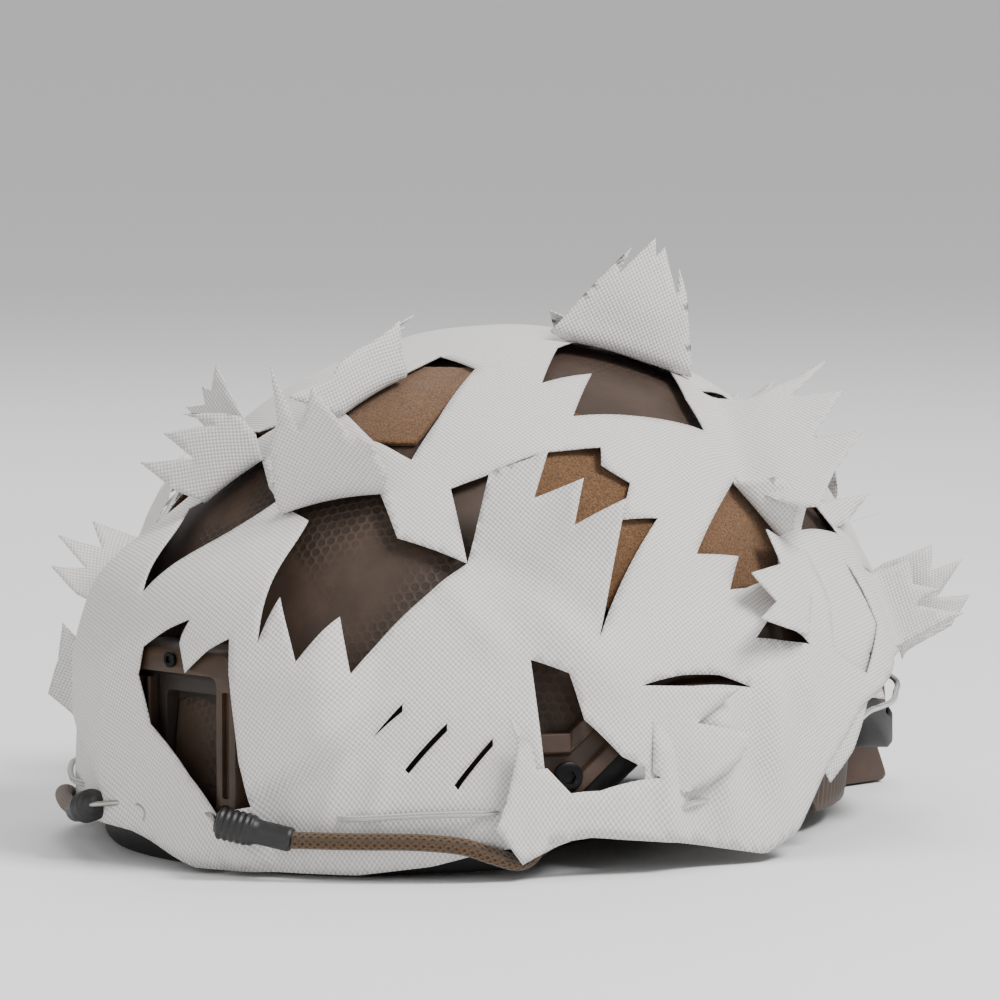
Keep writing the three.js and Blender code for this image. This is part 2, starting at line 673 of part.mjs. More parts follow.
// The thin white elastic that draws the cover in round the helmet.
const elasticStops = [
  [24, 20], [44, 22], [60, 22], [67, 16], [75, 22], [90, 24], [98, 34], [112, 43],
  [150, 44], [162, 53], [180, 53],
];
const elasticStart = 26;
const elasticStep = 7;
const elasticOut = coverGapLow + coverThickness + hemCordDiameter / 2 + 2 * clearance;
const elasticRoute = [];
for (let lon = elasticStart; lon <= 360 - elasticStart; lon += elasticStep) {
  elasticRoute.push(atHeight(lon, alongRim(elasticStops, lon), elasticOut));
}
piece('hem_elastic', 'elastic', tube(elasticRoute, hemCordDiameter, 64));

// Bring the middle of the whole footprint to the origin, with the trim standing on zero.
helmet.updateMatrixWorld(true);
const bounds = new THREE.Box3().setFromObject(helmet, true);
const middle = bounds.getCenter(new THREE.Vector3());
helmet.position.set(-middle.x, -middle.y, -bounds.min.z);

export default helmet;
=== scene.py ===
"""A high-cut tactical helmet in a white leaf-cut snow camouflage cover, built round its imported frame."""
import math

import bmesh
import bpy
import numpy as np
from mathutils import Matrix, Vector
from mathutils.geometry import delaunay_2d_cdt


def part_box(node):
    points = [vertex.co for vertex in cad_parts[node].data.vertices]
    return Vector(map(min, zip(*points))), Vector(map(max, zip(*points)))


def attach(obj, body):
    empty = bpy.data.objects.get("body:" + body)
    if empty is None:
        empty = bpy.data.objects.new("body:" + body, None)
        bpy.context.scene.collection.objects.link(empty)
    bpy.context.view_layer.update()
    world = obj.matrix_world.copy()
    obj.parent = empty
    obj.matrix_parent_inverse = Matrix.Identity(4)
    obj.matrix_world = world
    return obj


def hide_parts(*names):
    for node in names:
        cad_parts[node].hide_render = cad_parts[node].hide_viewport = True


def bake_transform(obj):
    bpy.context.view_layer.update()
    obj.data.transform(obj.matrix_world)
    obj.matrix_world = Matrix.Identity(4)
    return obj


bl_info = {
    "name": "Leaf-cut helmet cover",
    "version": (1, 0, 0),
    "blender": (4, 5, 0),
    "location": "3D View > Sidebar > Helmet",
    "description": "Builds a tactical helmet dressed in a white leaf-cut snow cover",
    "category": "Object",
}

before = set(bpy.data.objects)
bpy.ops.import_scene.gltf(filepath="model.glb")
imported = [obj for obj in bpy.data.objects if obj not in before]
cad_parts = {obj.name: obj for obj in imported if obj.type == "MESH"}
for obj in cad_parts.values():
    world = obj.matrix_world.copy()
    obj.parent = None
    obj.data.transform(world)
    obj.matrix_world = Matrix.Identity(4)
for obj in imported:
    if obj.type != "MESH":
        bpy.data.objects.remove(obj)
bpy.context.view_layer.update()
SHELL_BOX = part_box("shell")

# The helmet's own frame, in millimetres: the dome's middle at x = y = 0, and the ground at z = 0.
MM = 0.001
HALF_LENGTH = 142.0
HALF_WIDTH = 118.0
CROWN_RISE = 131.0
WAIST = 31.0
LOWER_DROP = 170.0
SHELL_WALL = 8.0
SHROUD_FRONT = -151.0
MIDDLE_X = (SHELL_BOX[0].x + SHELL_BOX[1].x) / 2 / MM
MIDDLE_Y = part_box("shroud_frame")[0].y / MM - SHROUD_FRONT
SIDES = (("left", 1), ("right", -1))

# Heights of the shell's rim and of the elastic in the cover's hem, as (angle round, height).
RIM_STOPS = ((0, 3), (25, 3), (50, 5), (76, 44), (112, 44), (132, 27), (150, 27), (162, 44), (180, 44))
ELASTIC_STOPS = (
    (24, 20), (44, 22), (60, 22), (67, 16), (75, 22), (90, 24), (98, 34), (112, 43),
    (150, 44), (162, 53), (180, 53),
)


def to_row(points):
    """Points of the helmet's own frame in millimetres, as an array in the row frame in metres."""
    return (np.asarray(points, float).reshape(-1, 3) + (MIDDLE_X, MIDDLE_Y, 0)) * MM


def smooth(value, low, high):
    share = np.clip((np.asarray(value, float) - low) / (high - low), 0, 1)
    return share * share * (3 - 2 * share)


def along_stops(stops, lon):
    """A smooth run through [angle, height] stops, the same on both sides of the helmet."""
    turn = np.abs((np.asarray(lon, float) + 180) % 360 - 180)
    height = np.full_like(turn, stops[0][1])
    for (a, low), (b, high) in zip(stops, stops[1:]):
        height = height + (high - low) * smooth(turn, a, b)
    return height


def dome(lon, lat, out):
    """Points on the layer that lies `out` outside the dome, at angles round and up from the waist."""
    lon, lat, out = np.broadcast_arrays(*(np.asarray(v, float) for v in (lon, lat, out)))
    rise = np.where(lat >= 0, CROWN_RISE, LOWER_DROP) + out
    ring = np.cos(np.radians(lat))
    x = (HALF_WIDTH + out) * ring * np.sin(np.radians(lon))
    y = -(HALF_LENGTH + out) * ring * np.cos(np.radians(lon))
    return np.stack([x, y, WAIST + rise * np.sin(np.radians(lat))], -1)


def latitude(z, out):
    rise = np.where(np.asarray(z) >= WAIST, CROWN_RISE, LOWER_DROP) + out
    return np.degrees(np.arcsin(np.clip((z - WAIST) / rise, -1, 1)))


def outward(point):
    rise = CROWN_RISE if point[2] >= WAIST else LOWER_DROP
    scale = np.array([HALF_WIDTH, HALF_LENGTH, rise])
    normal = (np.asarray(point, float) - (0, 0, WAIST)) / scale**2
    return normal / np.linalg.norm(normal)


def ripple(points, pitch, seed):
    """A smooth random height over space, mostly within 1 of zero: four crossed waves of about one pitch."""
    random = np.random.default_rng(seed)
    total = 0
    for _ in range(4):
        direction = random.normal(size=3)
        direction /= np.linalg.norm(direction)
        length = pitch * random.uniform(0.7, 1.5)
        start = random.uniform(0, 6.3)
        total = total + np.sin(points @ direction * 2 * math.pi / length + start)
    return total / 3


# ---------------------------------------------------------------- meshes
def add_object(name, points, faces, uv=None, smooth_shading=True):
    """A mesh object at the origin from points in the helmet's own frame, in millimetres."""
    mesh = bpy.data.meshes.new(name)
    mesh.from_pydata(to_row(points).tolist(), [], [list(map(int, face)) for face in faces])
    mesh.validate()
    if uv is not None:
        layer = mesh.uv_layers.new(name="UVMap")
        corner = np.empty(len(mesh.loops), int)
        mesh.loops.foreach_get("vertex_index", corner)
        layer.data.foreach_set("uv", (np.asarray(uv, float)[corner] * MM).astype(np.float32).ravel())
    if smooth_shading:
        mesh.shade_smooth()
    else:
        mesh.shade_flat()
    obj = bpy.data.objects.new(name, mesh)
    bpy.context.scene.collection.objects.link(obj)
    return obj


def grid_faces(rows, columns, start=0, closed=False):
    faces = []
    for j in range(rows - 1):
        for i in range(columns if closed else columns - 1):
            a = start + j * columns + i
            b = start + j * columns + (i + 1) % columns
            faces.append((a, b, b + columns, a + columns))
    return faces


def make_outward(obj):
    """Turn every face to point out of its closed body."""
    work = bmesh.new()
    work.from_mesh(obj.data)
    bmesh.ops.recalc_face_normals(work, faces=work.faces)
    work.to_mesh(obj.data)
    work.free()
    return obj


def capped_faces(rings, sides):
    """Faces of a closed body through rings of points, with a cap at each end."""
    last = (rings - 1) * sides
    caps = [tuple(range(sides - 1, -1, -1)), tuple(range(last, last + sides))]
    return grid_faces(rings, sides, closed=True) + caps


def vertex_places(obj):
    return np.array([v.co for v in obj.data.vertices])


def move_vertices(obj, places):
    obj.data.vertices.foreach_set("co", places.astype(np.float32).ravel())


def shade(obj, sharp_angle):
    """Smooth shading that keeps edges sharper than an angle, in degrees, crisp."""
    obj.data.shade_smooth()
    obj.data.set_sharp_from_angle(angle=math.radians(sharp_angle))
    return obj


def keep_result(obj):
    """Replace a mesh by what its modifiers make of it."""
    graph = bpy.context.evaluated_depsgraph_get()
    mesh = bpy.data.meshes.new_from_object(obj.evaluated_get(graph))
    obj.modifiers.clear()
    obj.data = mesh
    return obj


def settle(obj, *modifiers):
    """Add modifiers, given as (type, settings), and keep only their result."""
    for kind, settings in modifiers:
        modifier = obj.modifiers.new(kind.title(), kind)
        for key, value in settings.items():
            setattr(modifier, key, value)
    return keep_result(obj)


def slab(name, place, inner, outer, across, up):
    """A closed curved slab over a grid of places (s, t) between two layers."""
    s, t = np.meshgrid(np.linspace(0, 1, across + 1), np.linspace(0, 1, up + 1))
    points = np.concatenate([place(s.ravel(), t.ravel(), outer), place(s.ravel(), t.ravel(), inner)])
    row = across + 1
    layer = row * (up + 1)
    faces = grid_faces(up + 1, row)
    faces += [tuple(v + layer for v in reversed(face)) for face in grid_faces(up + 1, row)]
    border = list(range(row)) + [row * j + across for j in range(1, up + 1)]
    border += [row * up + i for i in range(across - 1, -1, -1)] + [row * j for j in range(up - 1, 0, -1)]
    for a, b in zip(border, border[1:] + border[:1]):
        faces.append((b, a, a + layer, b + layer))
    uv = np.concatenate([np.stack([s.ravel(), t.ravel()], -1)] * 2)
    size = np.linalg.norm(points[across] - points[0]), np.linalg.norm(points[row * up] - points[0])
    return make_outward(add_object(name, points, faces, uv * size))


def dome_patch(name, corners, inner, outer, step):
    """A slab over a four-cornered patch of the dome, corners as (lon, lat) anticlockwise."""
    a, b, c, d = (np.array(corner, float) for corner in corners)

    def place(s, t, out):
        s, t = s[:, None], t[:, None]
        spot = (a * (1 - s) + b * s) * (1 - t) + (d * (1 - s) + c * s) * t
        return dome(spot[:, 0], spot[:, 1], out)

    across = math.ceil(max(abs(b[0] - a[0]), abs(c[0] - d[0])) / step)
    up = math.ceil(max(abs(d[1] - a[1]), abs(c[1] - b[1])) / step)
    return slab(name, place, inner, outer, across, up)


def spline(points, count):
    """Evenly spaced points along a smooth curve through the given ones."""
    points = np.asarray(points, float)
    padded = np.vstack([2 * points[0] - points[1], points, 2 * points[-1] - points[-2]])
    fine = []
    for p0, p1, p2, p3 in zip(padded, padded[1:], padded[2:], padded[3:]):
        for t in np.linspace(0, 1, 24, endpoint=False):
            fine.append(0.5 * (2 * p1 + (p2 - p0) * t + (2 * p0 - 5 * p1 + 4 * p2 - p3) * t**2
                               + (3 * p1 - p0 - 3 * p2 + p3) * t**3))
    fine = np.array(fine + [points[-1]])
    distance = np.concatenate([[0], np.cumsum(np.linalg.norm(np.diff(fine, axis=0), axis=1))])
    wanted = np.linspace(0, distance[-1], count)
    return np.stack([np.interp(wanted, distance, fine[:, k]) for k in range(3)], -1), distance[-1]


def directions(points):
    """The unit direction of a route at each of its points."""
    tangent = np.gradient(points, axis=0)
    return tangent / np.linalg.norm(tangent, axis=1)[:, None]


def sweep(name, route, radius_of, steps, sides=16):
    """A closed round body along a smooth route, with a radius for each share of its length."""
    points, length = spline(route, steps + 1)
    tangent = directions(points)
    side = np.cross(tangent[0], (0.1, 0.2, 1))
    rings, uv = [], []
    for k in range(steps + 1):
        side = side - tangent[k] * (side @ tangent[k])
        side /= np.linalg.norm(side)
        up = np.cross(tangent[k], side)
        for i in range(sides):
            turn = 2 * math.pi * i / sides
            radius = radius_of(k / steps)
            rings.append(points[k] + radius * (math.cos(turn) * side + math.sin(turn) * up))
            uv.append((i / sides * 2 * math.pi * radius_of(0.5), length * k / steps))
    return make_outward(add_object(name, rings, capped_faces(steps + 1, sides), uv))


def finish_piece(obj, material, body="root", stands_for=()):
    """Give a piece its material and the body it rides on, and hide the imported nodes it stands for."""
    obj.data.materials.clear()
    obj.data.materials.append(material)
    if body:
        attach(obj, body)
    if stands_for:
        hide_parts(*stands_for)
    return obj


# ---------------------------------------------------------------- materials
class Wire:
    """One output in a material's node tree. Sums on it are written as Python expressions."""

    def __init__(self, paint, socket):
        self.paint = paint
        self.socket = socket

    def math(self, operation, *others):
        values = dict(enumerate((self, *others)))
        return self.paint.node("ShaderNodeMath", {"operation": operation}, values)

    def __add__(self, other):
        return self.math("ADD", other)

    def __sub__(self, other):
        return self.math("SUBTRACT", other)

    def __mul__(self, other):
        return self.math("MULTIPLY", other)

    def __truediv__(self, other):
        return self.math("DIVIDE", other)

    def __pow__(self, other):
        return self.math("POWER", other)

    __radd__ = __add__
    __rmul__ = __mul__

    def __rsub__(self, other):
        return self * -1 + other

    def fraction(self):
        return self.math("FRACT")

    def floor(self):
        return self.math("FLOOR")

    def sine(self):
        return self.math("SINE")

    def absolute(self):
        return self.math("ABSOLUTE")

    def between(self, low, high):
        settings = {"interpolation_type": "SMOOTHSTEP"}
        return self.paint.node("ShaderNodeMapRange", settings, {0: self, 1: low, 2: high})


class Paint:
    """A material under construction."""

    def __init__(self, name):
        self.material = bpy.data.materials.new(name)
        self.material.use_nodes = True
        self.tree = self.material.node_tree
        self.tree.nodes.clear()

    def node(self, kind, settings=None, values=None, output=0):
        node = self.tree.nodes.new(kind)
        for key, value in (settings or {}).items():
            setattr(node, key, value)
        for key, value in (values or {}).items():
            if isinstance(value, Wire):
                self.tree.links.new(value.socket, node.inputs[key])
            else:
                node.inputs[key].default_value = value
        return Wire(self, node.outputs[output])

    def place(self, scale=(1, 1, 1), flat=False):
        """Object coordinates, or the flat pattern's own, both in millimetres times scale."""
        socket = "UV" if flat else "Object"
        start = self.node("ShaderNodeTexCoord", output=socket)
        size = tuple(1000 * s for s in scale)
        return self.node("ShaderNodeMapping", values={"Vector": start, "Scale": size})

    def axes(self, vector):
        node = self.tree.nodes.new("ShaderNodeSeparateXYZ")
        self.tree.links.new(vector.socket, node.inputs[0])
        return [Wire(self, socket) for socket in node.outputs]

    def noise(self, vector, scale, detail=4, roughness=0.55):
        values = {"Vector": vector, "Scale": scale, "Detail": detail, "Roughness": roughness}
        return self.node("ShaderNodeTexNoise", values=values)

    def mix(self, factor, first, second):
        first, second = (c if isinstance(c, Wire) else (*c, 1) for c in (first, second))
        return self.node("ShaderNodeMix", {"data_type": "RGBA"}, {0: factor, 6: first, 7: second}, output=2)

    def bump(self, height, distance, under=None):
        values = {"Height": height, "Distance": distance * MM, "Strength": 1.0}
        if under is not None:
            values["Normal"] = under
        return self.node("ShaderNodeBump", values=values)

    def finish(self, color, roughness, metallic=0.0, normal=None, **constants):
        color = color if isinstance(color, Wire) else (*color, 1)
        values = {"Base Color": color, "Roughness": roughness, "Metallic": metallic}
        if normal is not None:
            values["Normal"] = normal
        for key, value in constants.items():
            values[key.replace("_", " ")] = value
        surface = self.node("ShaderNodeBsdfPrincipled", values=values)
        self.node_output(surface)
        return self.material

    def node_output(self, surface):
        output = self.tree.nodes.new("ShaderNodeOutputMaterial")
        self.tree.links.new(surface.socket, output.inputs[0])


DEPTH = 1.36                     # soft even light lifts dark colours, and this takes it back


def linear(*levels):
    """An everyday 0-255 colour as the linear values that a material takes, deepened in the darks."""
    return tuple((((c / 255 + 0.055) / 1.055) ** 2.4) ** DEPTH for c in levels)


def scaled(color, factor):
    return tuple(c * factor for c in color)


def snow_cloth():
    """White basket-woven polyester with a fine thread step."""
    paint = Paint("snow_cloth")
    flat = paint.place(flat=True)
    u, v, _ = paint.axes(flat)
    thread = 2 * math.pi / 1.7
    warp = (u * thread).sine()
    weft = (v * thread).sine()
    weave = warp * weft * 0.5 + 0.5
    wander = paint.noise(flat, 0.05, 3)
    fuzz = paint.noise(flat, 1.3, 2)
    color = paint.mix(weave * 0.8 + fuzz * 0.2, linear(186, 183, 181), linear(244, 242, 240))
    color = paint.mix(wander.between(0.35, 0.75) * 0.25, color, linear(214, 211, 208))
    relief = weave * 0.75 + fuzz * 0.25
    normal = paint.bump(relief, 0.3)
    return paint.finish(color, 0.86 - weave * 0.08, normal=normal, Sheen_Weight=0.12)


def scale_paint():
    """Tan textured paint over moulded rows of sunken rounded scales that fade in and out, with painted shade
    darkening each sunken scale.
    """
    paint = Paint("scale_paint")
    flat = paint.place(flat=True)
    u, v, _ = paint.axes(flat)
    pitch = 3.5
    row = (v / (pitch * 0.87)).floor()
    shift = (row * 0.5).fraction()
    across = (u / pitch + shift).fraction() - 0.5
    up = (v / (pitch * 0.87)).fraction() - 0.5
    wobble = paint.noise(flat, 0.35, 2) * 0.3
    reach = (across * across + up * up * 0.85) ** 0.5 + wobble - 0.15
    cell = 1 - reach.between(0.3, 0.47)
    zone = paint.noise(flat, 0.022, 2).between(0.42, 0.6)
    cell = cell * zone
    grain = paint.noise(flat, 1.4, 4, 0.7)
    wander = paint.noise(flat, 0.06, 3)
    base = paint.mix(wander.between(0.3, 0.7), linear(86, 71, 60), linear(99, 83, 71))
    # painted shade: the sunken scales are coloured darker, standing in for the shade that falls in their
    # dimples
    color = paint.mix(cell * 0.75, base, linear(66, 54, 45))
    specks = paint.noise(flat, 0.9, 3, 0.8).between(0.7, 0.78)
    color = paint.mix(specks * 0.5, color, linear(140, 122, 104))
    relief = grain * 0.25 - cell * 0.7 + specks * 0.2
    normal = paint.bump(relief, 0.28)
    return paint.finish(color, 0.52 + grain * 0.2, normal=normal, Specular_IOR_Level=0.4)


def loop_pile():
    """Tan hook-and-loop pile: a matted fuzz of fine curls."""
    paint = Paint("loop_pile")
    place = paint.place()
    curl = paint.noise(place, 1.5, 5, 0.8)
    clump = paint.noise(place, 0.35, 3)
    color = paint.mix(curl.between(0.34, 0.66), linear(82, 57, 36), linear(158, 124, 86))
    color = paint.mix(clump.between(0.3, 0.75) * 0.45, color, linear(120, 90, 60))
    normal = paint.bump(curl * 0.8 + clump * 0.5, 0.5)
    return paint.finish(color, 0.95, normal=normal, Sheen_Weight=0.15)


def moulded(name, low, high, roughness=0.45, grain_size=1.6, depth=0.06):
    """Glass-filled moulded plastic with a fine spark-eroded grain and rubbed patches."""
    paint = Paint(name)
    place = paint.place()
    grain = paint.noise(place, grain_size, 3, 0.7)
    wander = paint.noise(place, 0.06, 4)
    color = paint.mix(wander.between(0.3, 0.72), low, high)
    color = paint.mix(grain.between(0.62, 0.8) * 0.25, color, scaled(high, 1.7))
    normal = paint.bump(grain, depth)
    return paint.finish(color, roughness + grain * 0.16 + wander * 0.1, normal=normal)


def braided(name, light, dark, diameter, fleck=0.5):
    """Round braid: two sets of threads crossing on a slant, with stray flecks."""
    paint = Paint(name)
    flat = paint.place(flat=True)
    u, v, _ = paint.axes(flat)
    girth = math.pi * diameter
    pitch = girth / 8
    one = ((u + v * 0.85) * (math.pi / pitch)).sine().absolute()
    two = ((u - v * 0.85) * (math.pi / pitch)).sine().absolute()
    over = one.math("MAXIMUM", two)
    fleck_mask = paint.noise(flat, 1.4, 2, 0.6).between(0.45, 0.62)
    color = paint.mix(over.between(0.55, 0.98), dark, light)
    color = paint.mix(fleck_mask * fleck, color, dark)
    normal = paint.bump(over, 0.35)
    return paint.finish(color, 0.85, normal=normal, Sheen_Weight=0.2)


def brushed_fabric():
    paint = Paint("brushed_fabric")
    place = paint.place()
    nap = paint.noise(place, 1.2, 4, 0.75)
    wander = paint.noise(place, 0.08, 3)
    color = paint.mix(nap.between(0.3, 0.7), linear(26, 24, 23), linear(52, 49, 46))
    color = paint.mix(wander.between(0.4, 0.7) * 0.4, color, linear(36, 33, 31))
    return paint.finish(color, 0.95, normal=paint.bump(nap, 0.3), Sheen_Weight=0.25)


def webbing(name, light, dark):
    """Flat woven tape with ribs across it."""
    paint = Paint(name)
    flat = paint.place(flat=True)
    u, v, _ = paint.axes(flat)
    rib = (u * (2 * math.pi / 1.3)).sine() * 0.5 + 0.5
    chevron = ((v + (u / 2.6).fraction() * 1.2) * (2 * math.pi / 1.1)).sine() * 0.5 + 0.5
    weave = rib * 0.6 + chevron * 0.4
    color = paint.mix(weave.between(0.2, 0.8), dark, light)
    return paint.finish(color, 0.85, normal=paint.bump(weave, 0.22), Sheen_Weight=0.1)


def soft_rubber(name, tone, roughness):
    paint = Paint(name)
    place = paint.place()
    grain = paint.noise(place, 0.9, 4, 0.6)
    wear = paint.noise(place, 0.15, 3)
    color = paint.mix(wear.between(0.35, 0.7), tone, scaled(tone, 1.5))
    return paint.finish(color, roughness + grain * 0.15, normal=paint.bump(grain, 0.1))


def bright_wire():
    paint = Paint("bright_wire")
    place = paint.place((0.3, 0.3, 3))
    draw = paint.noise(place, 1.0, 3)
    color = paint.mix(draw, linear(150, 148, 142), linear(206, 204, 198))
    return paint.finish(color, 0.22 + draw * 0.2, metallic=1.0, normal=paint.bump(draw, 0.02))


def black_steel():
    paint = Paint("black_steel")
    place = paint.place()
    grain = paint.noise(place, 1.2, 4)
    wear = paint.noise(place, 0.5, 5, 0.7).between(0.6, 0.72)
    color = paint.mix(wear * 0.5, linear(30, 30, 33), linear(92, 92, 96))
    return paint.finish(color, 0.35 + grain * 0.2, metallic=0.7, normal=paint.bump(grain, 0.04))


def plain_floor():
    paint = Paint("plain_floor")
    return paint.finish((0.9, 0.9, 0.9), 0.9)


MAKERS = {
    "snow_cloth": snow_cloth,
    "scale_paint": scale_paint,
    "loop_pile": loop_pile,
    "shroud_plastic": lambda: moulded("shroud_plastic", linear(72, 54, 36), linear(92, 71, 50), 0.38),
    "plate_plastic": lambda: moulded("plate_plastic", linear(50, 40, 32), linear(66, 54, 43), 0.45),
    "rail_plastic": lambda: moulded("rail_plastic", linear(76, 57, 42), linear(94, 73, 55), 0.42),
    "dial_plastic": lambda: moulded("dial_plastic", linear(76, 55, 39), linear(98, 74, 55), 0.36),
    "bungee_braid": lambda: braided("bungee_braid", linear(122, 96, 62), linear(52, 38, 26), 5.5),
    "white_braid": lambda: braided("white_braid", linear(232, 231, 230), linear(168, 166, 166), 2.0, 0.1),
    "brushed_fabric": brushed_fabric,
    "strap_webbing": lambda: webbing("strap_webbing", linear(104, 86, 64), linear(58, 46, 33)),
    "edge_rubber": lambda: soft_rubber("edge_rubber", linear(26, 24, 23), 0.55),
    "shrunk_tube": lambda: soft_rubber("shrunk_tube", linear(44, 43, 45), 0.38),
    "bright_wire": bright_wire,
    "black_steel": black_steel,
    "plain_floor": plain_floor,
}


PAINTED = {}                     # the materials made so far, by name


def material(name):
    """One shared copy of a named material, made when it is first asked for."""
    if name not in PAINTED:
        PAINTED[name] = MAKERS[name]()
    return PAINTED[name]


# ---------------------------------------------------------------- shell, trim and panels
def rim_height(lon):
    return along_stops(RIM_STOPS, lon)


def dome_layers(name, foot_of, outer, inner, ribs, levels):
    """A closed cap between two layers of the dome, down to a foot height at each angle round."""
    lon = np.arange(ribs) * 360 / ribs
    foot = foot_of(lon)
    points, uv = [], []
    for out in (outer, inner):
        low = latitude(foot, out)
        for j in range(levels + 1):
            lat = 90 + (low - 90) * (0.004 + 0.996 * j / levels)
            points.append(dome(lon, lat, out))
            uv.append(chart(lon, lat))
    points = np.concatenate(points)
    row = ribs * (levels + 1)
    faces = [face[::-1] for face in grid_faces(levels + 1, ribs, closed=True)]
    faces += grid_faces(levels + 1, ribs, start=row, closed=True)
    faces += [tuple(range(ribs)), tuple(range(row + ribs - 1, row - 1, -1))]
    for i in range(ribs):
        a, b = levels * ribs + i, levels * ribs + (i + 1) % ribs
        faces.append((a, b, b + row, a + row))
    return make_outward(add_object(name, points, faces, np.concatenate(uv)))


# The cloth's weave and the shell's scales are laid out flat round a spot on each flank.
FLANKS = (45.0, 225.0)          # angle round of each spot
FLANK_START = -40               # where the first flank's half begins, in degrees round
FLANK_END = 128
FLANK_RISE = 35                 # angle up of both spots
FLANK_RADIUS = 132              # size of the round surface that is laid flat, in millimetres


def flank_of(lon):
    return np.where((lon - FLANK_START) % 360 + FLANK_START < FLANK_END, *FLANKS)


def chart(lon, lat, side=None):
    """Flat coordinates in millimetres round a spot on each flank, for patterns in the shell or cloth."""
    lon, lat = np.broadcast_arrays(np.asarray(lon, float), np.asarray(lat, float))
    side = flank_of(lon) if side is None else side
    turned = (lon - side + 180) % 360 - 180 + side
    east = np.radians(turned - side)
    high = np.radians(lat)
    level = math.radians(FLANK_RISE)
    cosine = np.sin(level) * np.sin(high) + np.cos(level) * np.cos(high) * np.cos(east)
    angle = np.arccos(np.clip(cosine, -1, 1))
    stretch = FLANK_RADIUS * angle / np.maximum(np.sin(angle), 1e-6)
    u = stretch * np.cos(high) * np.sin(east)
    v = stretch * (np.cos(level) * np.sin(high) - np.sin(level) * np.cos(high) * np.cos(east))
    return np.stack([u, v], -1)


def build_shell(sizes):
    obj = dome_layers("helmet_shell", rim_height, 0, -SHELL_WALL, 180, 44)
    finish_piece(obj, material("scale_paint"), stands_for=["shell"])


def build_trim(sizes):
    """The rubber edge: a U section that runs round the rim, with rounded legs."""
    count = 240
    lon = np.arange(count) * 360 / count
    foot = rim_height(lon)
    inside = -SHELL_WALL - 0.9
    section = [
        (2.2, 6.8), (1.6, 7.9), (0.7, 7.9), (0.3, 6.8), (0.3, -0.3), (inside, -0.3), (inside, 6.8),
        (inside - 0.4, 7.9), (inside - 1.3, 7.9), (inside - 2, 6.8), (inside - 2, -1.2),
        (inside - 0.8, -2.8), (1.2, -2.8), (2.3, -1.4),
    ]
    points = np.stack([dome_at_height(lon, foot + up, out) for out, up in section], 1).reshape(-1, 3)
    sides = len(section)
    faces = grid_faces(count, sides, closed=True)
    last = (count - 1) * sides
    for k in range(sides):
        n = (k + 1) % sides
        faces.append((last + k, last + n, n, k))
    obj = make_outward(add_object("rim_trim", points, faces))
    finish_piece(obj, material("edge_rubber"), stands_for=["edge_trim"])


def dome_at_height(lon, z, out):
    lon, z, out = np.broadcast_arrays(*(np.asarray(v, float) for v in (lon, z, out)))
    return dome(lon, latitude(z, out), out)


PANELS = {
    "front": ((-30, 51), (30, 51), (40, 70), (-40, 70)),
    "left": ((46, 22), (110, 26), (106, 47), (50, 62)),
    "right": ((-110, 26), (-46, 22), (-50, 62), (-106, 47)),
    "rear": ((150, 20), (210, 20), (204, 50), (156, 50)),
}


def build_panels(sizes):
    for where, corners in PANELS.items():
        obj = dome_patch(f"loop_{where}", corners, 0.3, 2.1, 0.8)
        settle(obj, ("BEVEL", {"width": 0.5 * MM, "segments": 2, "limit_method": "ANGLE"}))
        co = vertex_places(obj) / MM
        lift = ripple(co, 2.4, 5)[:, None] * 0.12
        centre = np.array([MIDDLE_X, MIDDLE_Y, WAIST])
        away = (co - centre) / np.linalg.norm(co - centre, axis=1)[:, None]
        move_vertices(obj, (co + away * lift) * MM)
        finish_piece(obj, material("loop_pile"), stands_for=[f"loop_panel_{where}"])


# ---------------------------------------------------------------- shroud and rails
SHROUD_WIDTH = 58.0
SHROUD_HEIGHT = 60.0
SHROUD_FOOT = 11.6


def rounded_loop(width, height, radius, count=6):
    """Corner points of a rounded rectangle, anticlockwise."""
    points = []
    for cx, cy, start in ((1, -1, -90), (1, 1, 0), (-1, 1, 90), (-1, -1, 180)):
        for k in range(count + 1):
            turn = math.radians(start + 90 * k / count)
            x = cx * (width / 2 - radius) + radius * math.cos(turn)
            y = cy * (height / 2 - radius) + radius * math.sin(turn)
            points.append((x, y))
    return points


def carve(obj, cutters, operation="DIFFERENCE"):
    """Cut or join with closed cutter bodies, which are then thrown away."""
    for cutter in cutters:
        settle(obj, ("BOOLEAN", {"object": cutter, "operation": operation, "solver": "EXACT"}))
        bpy.data.objects.remove(cutter)
    return obj


def loft(name, loops):
    """A closed body through matching loops of points, capped at both ends."""
    faces = capped_faces(len(loops), len(loops[0]))
    return make_outward(add_object(name, np.concatenate(loops), faces, smooth_shading=False))


def standing_block(name, width, height, radius, back, front, lip=1.2, dx=0.0, dz=0.0):
    """A rounded block that stands on the brow from back to front, its front edge softened."""
    loops = []
    for y, inset in ((back, 0), (front + lip, 0), (front + lip * 0.3, lip * 0.3), (front, lip)):
        outline = rounded_loop(width - 2 * inset, height - 2 * inset, max(radius - inset, 0.3))
        loops.append([(x + dx, y, SHROUD_FOOT + SHROUD_HEIGHT / 2 + z + dz) for x, z in outline])
    return loft(name, loops)


def shell_cutter():
    return dome_layers("shell_cutter", lambda lon: np.full_like(lon, -20.0), 0.3, -60, 180, 44)


